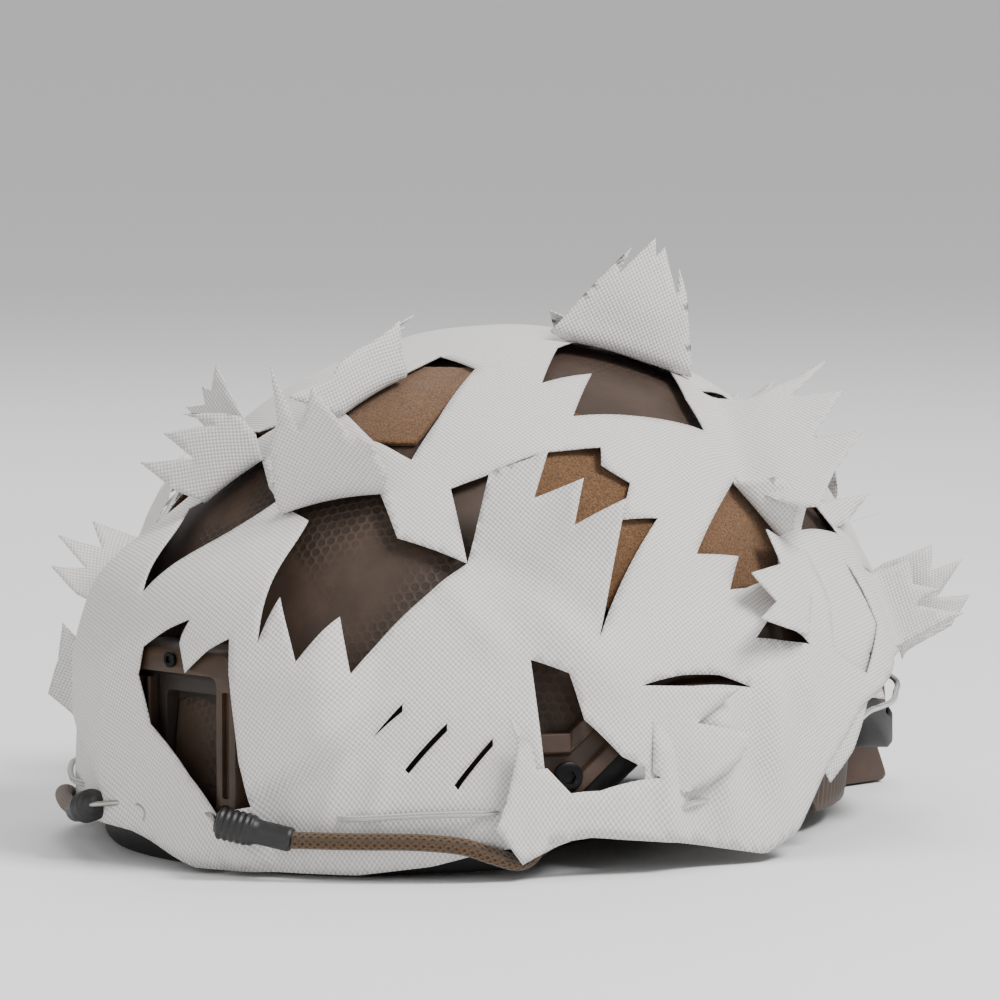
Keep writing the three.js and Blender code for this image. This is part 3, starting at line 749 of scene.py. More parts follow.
def build_shroud(sizes):
    frame_body = standing_block("shroud", SHROUD_WIDTH, SHROUD_HEIGHT, 9, -126, SHROUD_FRONT, 3.2)
    recess = standing_block("recess", 41, 43, 3, -100, -165, 0.1)
    side_slots = [standing_block("slot", 3, 34, 0.8, -149, -160, 0.1, dx=sign * 24.6) for sign in (1, -1)]
    carve(frame_body, [recess, *side_slots, shell_cutter()])
    finish_piece(soften(frame_body, 0.5), material("shroud_plastic"),
                 stands_for=["shroud_frame"])
    plate = standing_block("shroud_back", 40.4, 42.4, 2.7, -126, -145.5, 0.4)
    pocket = standing_block("pocket", 24, 30, 2, -140, -146.5, 0.1, dx=4)
    rail_slots = [standing_block("groove", 2.4, 39, 0.6, -143.6, -147, 0.1, dx=x) for x in (-12.2, -16.6)]
    carve(plate, [pocket, *rail_slots, shell_cutter()])
    finish_piece(soften(plate, 0.35), material("plate_plastic"),
                 stands_for=["shroud_plate"])
    lips = [standing_block(f"shroud_rail_{k}", 1.6, 38, 0.5, -145.3, -148 - k, 0.4, dx=-14.4 - 4.2 * k)
            for k in range(2)]
    for lip in lips:
        finish_piece(soften(lip, 0.3), material("rail_plastic"))
    for side, x, up in (("top", 0, 25.75), ("left", 24.75, -21.5), ("right", -24.75, -21.5)):
        z = SHROUD_FOOT + SHROUD_HEIGHT / 2 + up
        head = screw_head(f"shroud_screw_{side}_head", (x, SHROUD_FRONT - 0.3, z), (0, -1, 0), 2.6, 1.3)
        finish_piece(head, material("black_steel"),
                     stands_for=[f"shroud_screw_{side}"])


SHARP_ANGLE = 40                # edges sharper than this stay crisp, in degrees


def soften(obj, width, angle=32):
    """Small rounds on the sharp edges, then shading that keeps flats flat."""
    settings = {"width": width * MM, "segments": 2, "limit_method": "ANGLE",
                "angle_limit": math.radians(angle), "harden_normals": False}
    settle(obj, ("BEVEL", settings))
    return shade(obj, SHARP_ANGLE)


def basis(normal):
    normal = np.asarray(normal, float) / np.linalg.norm(normal)
    side = np.cross((0, 0, 1) if abs(normal[2]) < 0.9 else (0, 1, 0), normal)
    side /= np.linalg.norm(side)
    return side, np.cross(normal, side), normal


def screw_head(name, foot, direction, radius, height, socket_sides=6):
    """A domed screw head with a hexagon socket, standing on `foot`."""
    side, up, out = basis(direction)
    sides = 36
    profile = [(radius * 0.96, 0), (radius, height * 0.25), (radius * 0.97, height * 0.7),
               (radius * 0.8, height), (radius * 0.52, height)]
    loops = []
    for r, h in profile:
        turn = np.arange(sides) * 2 * math.pi / sides
        loops.append([np.asarray(foot) + r * math.cos(t) * side + r * math.sin(t) * up + h * out
                      for t in turn])
    for depth in (height, height * 0.45):
        ring = []
        for t in np.arange(sides) * 2 * math.pi / sides:
            wedge = (t * socket_sides / (2 * math.pi)) % 1 - 0.5
            r = radius * 0.42 / math.cos(wedge * 2 * math.pi / socket_sides)
            ring.append(np.asarray(foot) + r * math.cos(t) * side + r * math.sin(t) * up + depth * out)
        loops.append(ring)
    return shade(loft(name, [np.array(loop) for loop in loops]), SHARP_ANGLE)


RAIL_FRONT = 53.0
RAIL_REAR = 112.0
RAIL_HEIGHT = 22.0
RAIL_THICKNESS = 6.0
RAIL_NOTCHES = 9


def rail_foot(lon):
    return np.maximum(rim_height(lon) + 9.2, 24)


def build_rails(sizes):
    """Accessory rails: a curved bar with a raised upper and lower lip, and a row of notches."""
    for side, sign in SIDES:
        def place(s, t, out):
            lon = RAIL_FRONT + (RAIL_REAR - RAIL_FRONT) * s
            groove = smooth(t, 0.26, 0.34) * (1 - smooth(t, 0.66, 0.74))
            notch = smooth(np.cos(s * 2 * math.pi * RAIL_NOTCHES), 0.55, 0.8)
            notch = notch * smooth(s, 0.08, 0.1) * (1 - smooth(s, 0.92, 0.94))
            lip = 2.6 * groove + 1.3 * notch * (1 - groove) * smooth(t, 0.7, 0.76)
            layer = out - lip * (out > 3)
            return dome_at_height(sign * lon, rail_foot(lon) + RAIL_HEIGHT * t, layer)
        bar = slab(f"rail_{side}_bar", place, 0.3, 0.3 + RAIL_THICKNESS, 150, 40)
        finish_piece(soften(bar, 0.6), material("rail_plastic"), stands_for=[f"rail_{side}"])
        for end, lon in (("front", RAIL_FRONT + 5), ("rear", RAIL_REAR - 6)):
            foot = dome_at_height(sign * lon, rail_foot(lon) + RAIL_HEIGHT * 0.38, RAIL_THICKNESS + 0.6)
            head = screw_head(f"rail_{side}_{end}_bolt_head", foot, outward(foot), 5, 2)
            finish_piece(head, material("black_steel"),
                         stands_for=[f"rail_bolt_{side}_{end}"])


# ---------------------------------------------------------------- bungees
BUNGEE_DIAMETER = 5.5
BUNGEE_ROUTE = (
    (22, 13.5, 16.5), (30, 13.5, 15.3), (38, 13.5, 15), (44, 12, 14.5), (48, 8.5, 13),
    (51, 6, 10), (53, 7, 7), (54.5, 12, 5.7), (55, 18, 5.6), (55, 23.4, 5.6),
)
HOOK_ROUTE = ((20, -153.5, 19.5), (13, -153, 19.5), (10, -153, 17.5), (10.5, -153, 14.5))
TO_HOOK = np.array([-0.84, -0.5, 0.2]) / np.linalg.norm([0.84, 0.5, 0.2])
SLEEVE_GAP = 1.2
SLEEVE_LENGTH = 23.0
WIRE_RADIUS = 0.9


def sleeve_radius(share):
    """Wide and faintly ribbed over the knot, drawn in to a neck over the cord."""
    wide = smooth(share, 0.42, 0.56)
    end = 1 - 0.35 * smooth(share, 0.95, 1.0) - 0.12 * (1 - smooth(share, 0, 0.04))
    rib = 0.22 * np.sin(share * SLEEVE_LENGTH * 2 * math.pi / 1.9) * wide
    return float((3.95 + 1.15 * wide + rib) * end)


def build_bungees(sizes):
    for side, sign in SIDES:
        body = f"{side}_bungee"
        flip = np.array([sign, 1, 1])
        route = np.array([dome_at_height(lon, z, out) for lon, z, out in BUNGEE_ROUTE])
        start = route[0]
        cord = sweep(f"bungee_{side}", route * flip, lambda share: BUNGEE_DIAMETER / 2, 150, 20)
        finish_piece(cord, material("bungee_braid"), body=None,
                     stands_for=[f"bungee_cord_{side}"])
        neck = to_row(start * flip)[0]
        back = to_row(dome_at_height(40, 13.5, 15) * flip)[0]
        tuple(back)
        tuple(neck)
        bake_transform(cord)
        foot = start + TO_HOOK * SLEEVE_GAP * 0.15
        tip = start + TO_HOOK * (2 * SLEEVE_GAP + SLEEVE_LENGTH)
        middle = (foot + tip) / 2
        sleeve = sweep(f"sleeve_{side}", [foot * flip, middle * flip, tip * flip], sleeve_radius, 90, 28)
        finish_piece(sleeve, material("shrunk_tube"), body=body,
                     stands_for=[f"bungee_sleeve_{side}"])
        wire_route = [tip - TO_HOOK * 3, tip, *map(np.array, HOOK_ROUTE)]
        wire = sweep(f"hook_{side}", [point * flip for point in wire_route],
                     lambda share: WIRE_RADIUS, 70, 14)
        finish_piece(wire, material("bright_wire"), body=body,
                     stands_for=[f"bungee_hook_{side}"])


# ---------------------------------------------------------------- liner pads and nape fit
PAD_OUTER = -9.4
PAD_THICKNESS = 17.0
PAD_VOXEL = 3.6


def pad_blanks():
    """Slightly small starting shapes for the liner pads, as (CAD node, object)."""
    inset = 2.2
    outer, inner = PAD_OUTER - inset, PAD_OUTER - PAD_THICKNESS + inset
    spots = [("liner_pad_front", -34, 34, -3, 26), ("liner_pad_rear", 152, 208, 16, 44)]
    for side, sign in SIDES:
        for end, a, b in (("front", 44, 78), ("rear", 98, 134)):
            low, high = (a, b) if sign > 0 else (-b, -a)
            spots.append((f"liner_pad_{side}_{end}", low, high, 22, 50))
    trim_lat = 1.1
    for node, low, high, floor, top in spots:
        trim_lon = trim_lat / math.cos(math.radians((floor + top) / 2))
        low, high, floor, top = low + trim_lon, high - trim_lon, floor + trim_lat, top - trim_lat
        corners = ((low, floor), (high, floor), (high, top), (low, top))
        yield node, dome_patch(node + "_blank", corners, inner, outer, 4)
    yield "liner_pad_crown", crown_blank(inset)


def crown_blank(inset):
    radius = 38 - inset
    top = WAIST + CROWN_RISE + PAD_OUTER - inset
    loops = []
    for share in (0.05, 0.35, 0.7, 1.0, 1.0, 0.7, 0.35, 0.05):
        loops.append((share * radius, len(loops) >= 4))
    rings = []
    for r, upper in loops:
        drop = (CROWN_RISE + PAD_OUTER) * (1 - math.sqrt(1 - (r / (HALF_WIDTH + PAD_OUTER)) ** 2))
        z = top - drop - (0 if upper else PAD_THICKNESS - 2 * inset)
        rings.append([(r * math.cos(t), r * math.sin(t), z) for t in np.arange(32) * math.pi / 16])
    return loft("liner_pad_crown_blank", rings)


def nape_blank():
    inset = 2.0

    def place(s, t, out):
        lon = 159.5 + 41 * s
        return dome_at_height(lon, 1.8 + 40.4 * t, out)
    return slab("nape_pad_blank", place, -27 + inset, -12.5 - inset, 10, 6)


def puff_up(obj, cap):
    """Fill a pad: cloth with air pressure inside, no point moving further than `cap`."""
    settle(obj, ("REMESH", {"mode": "VOXEL", "voxel_size": PAD_VOXEL * MM}))
    start = vertex_places(obj)
    cloth = obj.modifiers.new("Cloth", "CLOTH")
    cloth.settings.use_pressure = True
    cloth.settings.uniform_pressure_force = 4
    cloth.settings.effector_weights.gravity = 0
    scene = bpy.context.scene
    for frame_number in range(1, 21):
        scene.frame_set(frame_number)
    keep_result(obj)
    scene.frame_set(1)
    move = vertex_places(obj) - start
    reach = np.linalg.norm(move, axis=1)[:, None]
    end = start + move * np.minimum(1, cap * MM / np.maximum(reach, 1e-9))
    move_vertices(obj, end)
    settle(obj, ("SUBSURF", {"levels": 1}))
    obj.data.shade_smooth()
    return obj


def build_pads(sizes):
    for node, blank in pad_blanks():
        blank.name = node + "_cushion"
        puff_up(blank, 1.9)
        finish_piece(blank, material("brushed_fabric"), stands_for=[node])
    blank = nape_blank()
    blank.name = "nape_cushion"
    puff_up(blank, 1.6)
    finish_piece(blank, material("brushed_fabric"), body="nape_yoke", stands_for=["nape_pad"])


DIAL_TILT = math.radians(25)
DIAL_Y = 158.0
DIAL_Z = 20.0
DIAL_WIDTH = 35.0
STUD_ROWS = 4
STUD_PITCH = 7.2


def on_dial(points):
    """From the dial's own frame (x across, y outward along its axis, z up its face) to the helmet's."""
    x, y, z = np.asarray(points, float).reshape(-1, 3).T
    back = DIAL_Y + y * math.cos(DIAL_TILT) - z * math.sin(DIAL_TILT)
    up = DIAL_Z + y * math.sin(DIAL_TILT) + z * math.cos(DIAL_TILT)
    return np.stack([x, back, up], -1)


def dial_rod(name, radius, ends, x=0.0, z=0.0):
    """A round bar along the dial's axis, through the given distances along it."""
    turn = np.arange(24) * math.pi / 12
    rim = [(x + radius * math.cos(t), z + radius * math.sin(t)) for t in turn]
    return loft(name, [on_dial([(a, y, b) for a, b in rim]) for y in ends])


def dial_block(name, width, height, radius, start, end, lip):
    """A rounded block along the dial's axis, with softened ends."""
    stops = ((start, lip * 0.5), (start + lip * 0.5, 0), (end - lip, 0), (end - lip * 0.3, lip * 0.35),
             (end, lip))
    loops = []
    for y, inset in stops:
        outline = rounded_loop(width - 2 * inset, height - 2 * inset, radius - inset * 0.5)
        loops.append(on_dial([(x, y, z) for x, z in outline]))
    return loft(name, loops)


def grip_tree(stud, columns, rows, pitch_x, pitch_z):
    """A node tree that lays a grid of pyramid grip studs, as real geometry."""
    tree = bpy.data.node_groups.new("grip_studs", "GeometryNodeTree")
    face = tree.interface
    face.new_socket("Geometry", in_out="OUTPUT", socket_type="NodeSocketGeometry")
    for name, value in (("Width", pitch_x * (columns - 1)), ("Height", pitch_z * (rows - 1))):
        face.new_socket(name, in_out="INPUT", socket_type="NodeSocketFloat").default_value = value * MM
    for name, value in (("Columns", columns), ("Rows", rows)):
        face.new_socket(name, in_out="INPUT", socket_type="NodeSocketInt").default_value = value
    nodes = {kind: tree.nodes.new(kind) for kind in (
        "NodeGroupInput", "NodeGroupOutput", "GeometryNodeMeshGrid", "GeometryNodeInstanceOnPoints",
        "GeometryNodeObjectInfo", "GeometryNodeRealizeInstances", "GeometryNodeSetMaterial")}
    given, grid = nodes["NodeGroupInput"], nodes["GeometryNodeMeshGrid"]
    put, realize = nodes["GeometryNodeInstanceOnPoints"], nodes["GeometryNodeRealizeInstances"]
    paint = nodes["GeometryNodeSetMaterial"]
    nodes["GeometryNodeObjectInfo"].inputs["Object"].default_value = stud
    paint.inputs["Material"].default_value = material("dial_plastic")
    link = tree.links.new
    link(given.outputs["Width"], grid.inputs["Size X"])
    link(given.outputs["Height"], grid.inputs["Size Y"])
    link(given.outputs["Columns"], grid.inputs["Vertices X"])
    link(given.outputs["Rows"], grid.inputs["Vertices Y"])
    link(grid.outputs["Mesh"], put.inputs["Points"])
    link(nodes["GeometryNodeObjectInfo"].outputs["Geometry"], put.inputs["Instance"])
    link(put.outputs["Instances"], realize.inputs["Geometry"])
    link(realize.outputs["Geometry"], paint.inputs["Geometry"])
    link(paint.outputs["Geometry"], nodes["NodeGroupOutput"].inputs["Geometry"])
    return tree


def grow(name, tree, **inputs):
    """Run a node tree on an empty mesh and keep the result as a plain mesh object."""
    obj = bpy.data.objects.new(name, bpy.data.meshes.new(name))
    bpy.context.scene.collection.objects.link(obj)
    modifier = obj.modifiers.new("Nodes", "NODES")
    modifier.node_group = tree
    for item in tree.interface.items_tree:
        if item.in_out == "INPUT" and item.name in inputs:
            modifier[item.identifier] = inputs[item.name]
    return keep_result(obj)


def grip_stud():
    """One rounded pyramid with its base at z = 0."""
    base, top, height = 2.9, 0.9, 1.5
    loops = []
    for share in (0, 0.45, 0.8, 1.0):
        half = base + (top - base) * share**1.3
        loops.append([(x, y, height * math.sin(share * math.pi / 2) - 0.3)
                      for x, y in rounded_loop(2 * half, 2 * half, half * 0.45, 3)])
    stud = loft("stud", [np.array(loop) for loop in loops])
    move_vertices(stud, vertex_places(stud) - to_row([0, 0, 0])[0])
    stud.data.shade_smooth()
    return stud


def build_dial(sizes):
    face_height = 15.0
    knob = dial_block("dial", DIAL_WIDTH, DIAL_WIDTH, 6, 0, face_height - 1.2, 2.6)
    bore = dial_rod("bore", 4, (-3, 6))
    flutes = [dial_rod("flute", 1.3, (2, 11), x * DIAL_WIDTH / 2, -12.5 + 5 * k)
              for k in range(6) for x in (-1, 1)]
    carve(knob, [bore, *flutes])
    soften(knob, 0.5)
    finish_piece(knob, material("dial_plastic"), body="nape_dial",
                 stands_for=["dial_knob"])
    stud = grip_stud()
    studs = grow("dial_studs", grip_tree(stud, STUD_ROWS, STUD_ROWS, STUD_PITCH, STUD_PITCH))
    bpy.data.objects.remove(stud)
    local = vertex_places(studs) / MM
    placed = on_dial(np.stack([local[:, 0], face_height - 1.4 + local[:, 2], local[:, 1]], -1))
    move_vertices(studs, to_row(placed))
    studs.data.update()
    shade(make_outward(studs), 50)
    finish_piece(studs, material("dial_plastic"), body="nape_dial")
    shaft = dial_rod("dial_shaft", 3.7, (-5.7, -5.2, 5.2, 5.7))
    finish_piece(soften(shaft, 0.3), material("black_steel"), body="nape_yoke",
                 stands_for=["dial_axle"])


ARM_RIBS = 22


def build_nape(sizes):
    """The yoke: a housing with a slanted face, ribbed sides, and two thin arms round the head."""
    slope = math.tan(DIAL_TILT)

    def face(z):
        return DIAL_Y - (z - DIAL_Z) * slope - 0.6

    profile = [
        (131.5, 0.5), (face(0.5) - 2.5, 0.5), (face(1.8) - 0.4, 1.8), (face(3.5), 3.5), (face(24), 24),
        (face(25.4) - 0.5, 25.4), (face(26) - 2.2, 26), (146, 23), (131.5, 22),
    ]
    loops = []
    for x, inset in ((-28, 1.6), (-27.4, 0.6), (-26, 0), (26, 0), (27.4, 0.6), (28, 1.6)):
        middle = np.mean(profile, axis=0)
        loops.append([(x, *(middle + (np.array(p) - middle) * (1 - inset / 12))) for p in profile])
    yoke = loft("nape_housing", [np.array(loop) for loop in loops])
    bore = dial_rod("bore", 4.3, (-6, 3))
    grooves = [dial_block("groove", 1.2, 20, 0.5, -2.2, 2, 0.1) for _ in range(2)]
    for groove, x in zip(grooves, (-22, 22)):
        groove.data.transform(Matrix.Translation((x * MM, 0, 0)))
    carve(yoke, [bore, *grooves])
    finish_piece(soften(yoke, 0.7), material("dial_plastic"), body="nape_yoke",
                 stands_for=["nape_yoke"])
    for side, sign in SIDES:
        def place(s, t, out):
            lon = 112 + 44.5 * s
            rib = 0.25 * np.cos(s * 2 * math.pi * ARM_RIBS) * (out > -13)
            rib = rib * smooth(t, 0.12, 0.2) * (1 - smooth(t, 0.8, 0.88))
            pinch = 0.28 * (1 - smooth(s, 0, 0.06))
            height = 7 + 15 * (pinch + (1 - 2 * pinch) * t)
            return dome_at_height(sign * lon, height, out + rib - 0.25 * (out > -13))
        arm = slab(f"nape_arm_{side}_strip", place, -14.5, -12.5, 150, 12)
        finish_piece(soften(arm, 0.3), material("rail_plastic"), body="nape_yoke",
                     stands_for=[f"nape_arm_{side}"])


# ---------------------------------------------------------------- chin harness
STRAP_Y = -10.0


def tape(name, route, across, width, thickness, steps=90):
    """A flat woven band along a route, with soft selvedges."""
    points, length = spline(route, steps + 1)
    across = np.asarray(across, float) / np.linalg.norm(across)
    face = np.cross(across, directions(points))
    face /= np.linalg.norm(face, axis=1)[:, None]
    section = [(-1, 0), (-0.96, 0.7), (-0.86, 1), (0, 0.9), (0.86, 1), (0.96, 0.7), (1, 0), (0.96, -0.7),
               (0.86, -1), (0, -0.9), (-0.86, -1), (-0.96, -0.7)]
    loops, uv = [], []
    for k in range(steps + 1):
        loops.append([points[k] + across * w * width / 2 + face[k] * h * thickness / 2 for w, h in section])
        uv += [(length * k / steps, w * width / 2) for w, _ in section]
    faces = capped_faces(len(loops), len(section))
    return make_outward(add_object(name, np.concatenate(loops), faces, uv))


def build_harness(sizes):
    for side, sign in SIDES:
        flip = np.array([sign, 1, 1])
        front = np.array([(102, STRAP_Y, 60), (104.5, STRAP_Y, 40), (103, STRAP_Y, 22), (96, STRAP_Y, 9),
                          (84, STRAP_Y, 4.6), (62, STRAP_Y, 3.2), (26.3, STRAP_Y, 3.2)]) * flip
        strap = tape(f"chin_{side}", front, (0, sign, 0), 20, 1.5, 150)
        finish_piece(strap, material("strap_webbing"), stands_for=[f"chin_strap_{side}"])
        rear = np.array([(80, 80, 44), (90, 50, 31), (96, 24, 22), (97, 0.3, 17)]) * flip
        strap = tape(f"harness_{side}", rear, (0, 0, sign), 15, 1.5, 90)
        finish_piece(strap, material("strap_webbing"), stands_for=[f"harness_strap_{side}"])


def buckle_half(name, sign):
    loops = []
    for z, inset in ((0.6, 1.0), (1.1, 0.3), (1.8, 0), (7.9, 0), (8.6, 0.3), (9.1, 1.0)):
        outline = rounded_loop(25.85 - 2 * inset, 24 - 2 * inset, 4 - inset * 0.4)
        loops.append([(x + sign * 13.075, y + STRAP_Y, z) for x, y in outline])
    return loft(name, [np.array(loop) for loop in loops])


def block(name, x0, x1, y0, y1, z0, z1):
    loops = [[(x, y, z) for x, y in ((x0, y0), (x1, y0), (x1, y1), (x0, y1))] for z in (z0, z1)]
    return loft(name, [np.array(loop) for loop in loops])


def build_buckle(sizes):
    socket = buckle_half("buckle_outer", 1)
    carve(socket, [block("channel", -0.3, 12.3, STRAP_Y - 16, STRAP_Y + 8, 3.05, 6.65),
                   block("thumb", 15, 21, STRAP_Y - 6, STRAP_Y + 6, 8.2, 12)])
    finish_piece(soften(socket, 0.35), material("shroud_plastic"),
                 stands_for=["buckle_socket"])
    plug = buckle_half("buckle_inner", -1)
    tongue = block("tongue", -4, 12, STRAP_Y - 10.6, STRAP_Y + 7.4, 3.35, 6.35)
    carve(plug, [tongue], "UNION")
    carve(plug, [block("thumb", -21, -15, STRAP_Y - 6, STRAP_Y + 6, 8.2, 12)])
    finish_piece(soften(plug, 0.35), material("shroud_plastic"), body="buckle_plug",
                 stands_for=["buckle_plug"])


# ---------------------------------------------------------------- snow cover
HEM = (
    (-180, 47), (-162, 47), (-150, 38), (-112, 36), (-97, 26), (-84, 6), (-72, 10), (-60, 13), (-40, 13),
    (-22, 16), (-7, 11), (6, 2), (30, 2), (40, 5), (48, 10), (61, 13), (72, 10), (86, 3), (92, 9), (98, 28),
    (106, 46), (117, 56), (140, 58), (152, 50), (162, 47), (180, 47),
)
SHROUD_REACH = 152.6            # how far forward the cloth passes over the shroud
# Soft folds in the cloth: (start, end, height in mm, half-width), places as (angle round, angle up).
FOLDS = (
    ((50, 30), (68, 8), 4.5, 4.5), ((38, 30), (52, 14), 1.6, 2.2), ((22, 4), (37, 13), 1.4, 1.2),
    ((24, -7), (30, 6), 1.4, 1.4), ((31, -8), (35, 5), 1.2, 1.4), ((70, 8), (72, -9), 3, 1.8),
    ((79, 12), (80, -8), 3.5, 2), ((88, 16), (88, -6), 4, 2.4), ((96, 24), (94, 4), 2.5, 2),
    ((60, 44), (84, 52), 1.5, 2.5), ((10, 48), (30, 50), 1.2, 2.2), ((84, 40), (100, 50), 2, 2.5),
    ((-30, 2), (-34, 20), 2, 2), ((-50, 4), (-60, 26), 2.5, 3), ((-78, -4), (-80, 14), 3.5, 2),
    ((-90, -2), (-88, 20), 3, 2.2), ((-104, 18), (-112, 40), 2, 3), ((-140, 20), (-136, 44), 2, 3),
    ((168, 14), (172, 40), 2, 2.5), ((150, 20), (146, 44), 2, 3), ((110, 30), (128, 52), 1.5, 2.5),
)
CLOTH_STEP = 1.25               # spacing of the cloth's grid, in degrees
CLOTH_GAP = 3.5                 # how far the cloth stands off the bare shell
RAIL_GAP = 5.9                  # how much further it stands off low down, over the rails
LEAF_SOFTNESS = 9.0             # how far out from its hinge a leaf's bend is spread
LEAF_BEND_STEPS = 24

# Holes with no leaf left in them, as (angle round, angle up) corners.
OPEN_CUTS = {
    "shroud": ((-3.5, 6), (-6, 12), (-5, 15.5), (4, 19.5), (2.5, 16.5), (3.5, 13), (11.5, 17.5), (13, 9),
               (14, 2.5), (15.5, -2.5), (10, -3.5), (4.5, 0)),
    "slit_one": ((32, 6), (36, 10.5), (36, 9.5)),
    "slit_two": ((36.5, 2), (42, 8), (42, 7), (37, 1.5)),
    "slit_three": ((43, 0), (48, 6), (48, 5), (43.5, -0.5)),
    "rail_window": ((53, 16), (58, 14), (60, 8), (65, 3), (70, 0), (62, -1), (55, -1.5), (54, 8)),
    "temple_gap": ((91, 20), (96, 15), (87, 17)),
    "rear_gap": ((120, 37), (122, 29.5), (108, 31.5)),
}

# Leaves cut from the cloth and bent out. Each is hinged from root[0] to root[1] and its hole goes on
# from there, as (angle round, angle up) corners with the leaf on the left seen from outside. The
# outline is (out along the leaf, across it) in millimetres, from root[1] back to root[0].
# lift and curl are degrees at the hinge, and degrees for each millimetre out.
LEAVES = [
    dict(name="brow_left", lift=130, root=((-7, 46), (-16, 38)),
         hole=((-19, 36), (-8, 22), (6, 39), (2, 41)),
         outline=((6, 12), (13, 17), (28, 22), (18, 6), (31, 10), (22, -7), (32, 1), (24, -11), (20, -15),
                  (12, -16))),
    dict(name="brow_middle", lift=120, root=((26, 42), (8, 38)),
         hole=((15, 36), (16, 17), (18, 23), (22, 15), (27, 21), (29, 14), (44, 30), (32, 34)),
         outline=((12, 16), (31, 12), (35, 8), (54, 5), (30, 2), (44, -6), (25, -14), (26, -18), (12, -22))),
    dict(name="crown_front", lift=110, root=((14, 65), (6, 56)),
         hole=((21, 50), (31, 47), (34, 55), (40, 68), (21, 72)),
         outline=((19, 30), (18, 21), (17, 13), (20, 8), (20, 3), (20, -6), (22, -18), (11, -13))),
    dict(name="crown_rear", lift=100, root=((122, 64), (100, 76)),
         hole=((80, 74), (62, 63), (81, 65), (67, 55), (77, 55), (100, 50), (106, 57)),
         outline=((5, 28), (26, 18), (39, 10), (29, 12), (44, 3), (38, 1), (42, -1), (28, -10), (37, -8),
                  (30, -13), (3, -24))),
    dict(name="flank", lift=25, root=((44, 30), (62, 18)),
         hole=((77, 36), (70, 36), (74, 42), (69, 45), (70, 48), (58, 48), (46, 44), (40, 42)),
         outline=((23, 16), (41, 10), (25, 0), (40, -5), (28, -16), (44, -20), (29, -33))),
    dict(name="rear_upper", lift=45, root=((118, 58), (98, 42)),
         hole=((108, 37), (124, 40), (132, 48), (130, 56)),
         outline=((18, 44), (25, 46), (34, 30), (47, 15), (30, 12), (45, -6), (28, -11), (45, -27),
                  (15, -15), (8, -19))),
    dict(name="temple", lift=110, curl=1.0, root=((102, 32), (98, 41)),
         hole=((82, 30), (90, 29), (85, 24), (88, 24), (96, 25)),
         outline=((8, 9), (17, 3), (19, -3), (15, -8), (10, -13))),
    dict(name="front_strip", lift=14, root=((58, -6), (58, -1)), hole=((57.65, -1), (57.65, -6)),
         outline=((8, 16), (12, 16), (14, 24), (22, 33), (19, 25), (20, 18), (23, 6), (27, -2), (25, -4),
                  (17, -14), (4, -9))),
    dict(name="side_point", lift=6, root=((68, 12), (68, 0)),
         hole=((69, 1), (69.5, 11), (85, 10.5), (80, 12.6), (74, 13)),
         outline=((7, 22), (21, 18), (33, 11), (39, 2), (19, -2), (35, -13))),
    dict(name="temple_low", lift=5, root=((101, 22), (105.5, 28)), hole=((104, 28.6), (99.8, 22.8)),
         outline=((0, 9), (24, 3), (18, -8), (38, -25), (24, -28), (36, -43), (6, -31))),
    dict(name="hanging", lift=10, curl=-0.6, root=((116, 26), (106, 29)),
         hole=((104, 20), (102, 14), (108, 10), (115, 16)),
         outline=((4, 15), (21, 21), (40, 9), (58, 10), (70, 19), (80, 3), (68, -5), (49, -11), (48, -22),
                  (34, -12), (33, -22), (17, -17), (2, -20))),
    dict(name="rear_side", lift=60, root=((124, 24), (127, 12)), hole=((134, 14), (133, 22)),
         outline=((6, 18), (30, 18), (14, 7), (24, 6), (16, 0), (18, -8), (4, -10))),
    dict(name="rear_low", lift=55, root=((126, 22), (131, 9.6)), hole=((131.6, 10), (126.8, 22)),
         outline=((24, 18), (34, 12), (22, 6), (36, -1), (24, -4), (28, -12), (10, -16))),
    dict(name="rear_small", lift=30, root=((117, 40), (122, 30)), hole=((127, 31), (124, 39)),
         outline=((3, 13), (28, 27), (9, 16), (25, 17), (5, 3))),
    dict(name="behind", lift=130, root=((-10, 53), (-30, 46)), hole=((-34, 38), (-28, 31), (-23, 39)),
         outline=((14, 16), (22, 22), (20, 13), (26, 13), (23, 9), (31, 5), (3, -5))),
    dict(name="far_side", lift=75, root=((-40, 0), (-40, 14)), hole=((-45, 12), (-47, 4)),
         outline=((6, 14), (14, 20), (13, 8), (15, -4), (5, -10))),
]
# Like leaves on the other faces: (angle round, angle up, heading, length, width, lift), the heading
# in degrees clockwise from down. Lengths and widths are in degrees of the dome, before COMMON_SCALE.
COMMON_LEAVES = (
    (-42, 28, 200, 13, 12, 3), (-66, 44, 20, 13, 12, 8), (-66, 20, 340, 14, 13, 105),
    (-92, 34, 15, 14, 13, 95), (-94, 12, 190, 11, 11, 20), (-116, 50, 20, 13, 14, 60),
    (-124, 26, 340, 14, 13, 100), (-146, 40, 160, 13, 12, 30), (-160, 24, 10, 12, 12, 90),
    (-178, 44, 350, 13, 14, 80), (166, 26, 180, 12, 12, 28), (154, 50, 20, 12, 12, 22),
    (-60, 66, 200, 10, 12, 12), (-128, 72, 20, 11, 12, 14), (178, 68, 180, 10, 11, 14),
)
COMMON_SCALE = (1.25, 1.2)      # on lengths, on widths
MM_PER_DEGREE = 2.2             # on the dome
LEAF_TEETH = ((0.5, 0.6), (0.85, 0.5), (0.6, 0.24), (1.0, 0.12), (0.64, -0.1), (0.92, -0.34), (0.45, -0.6))


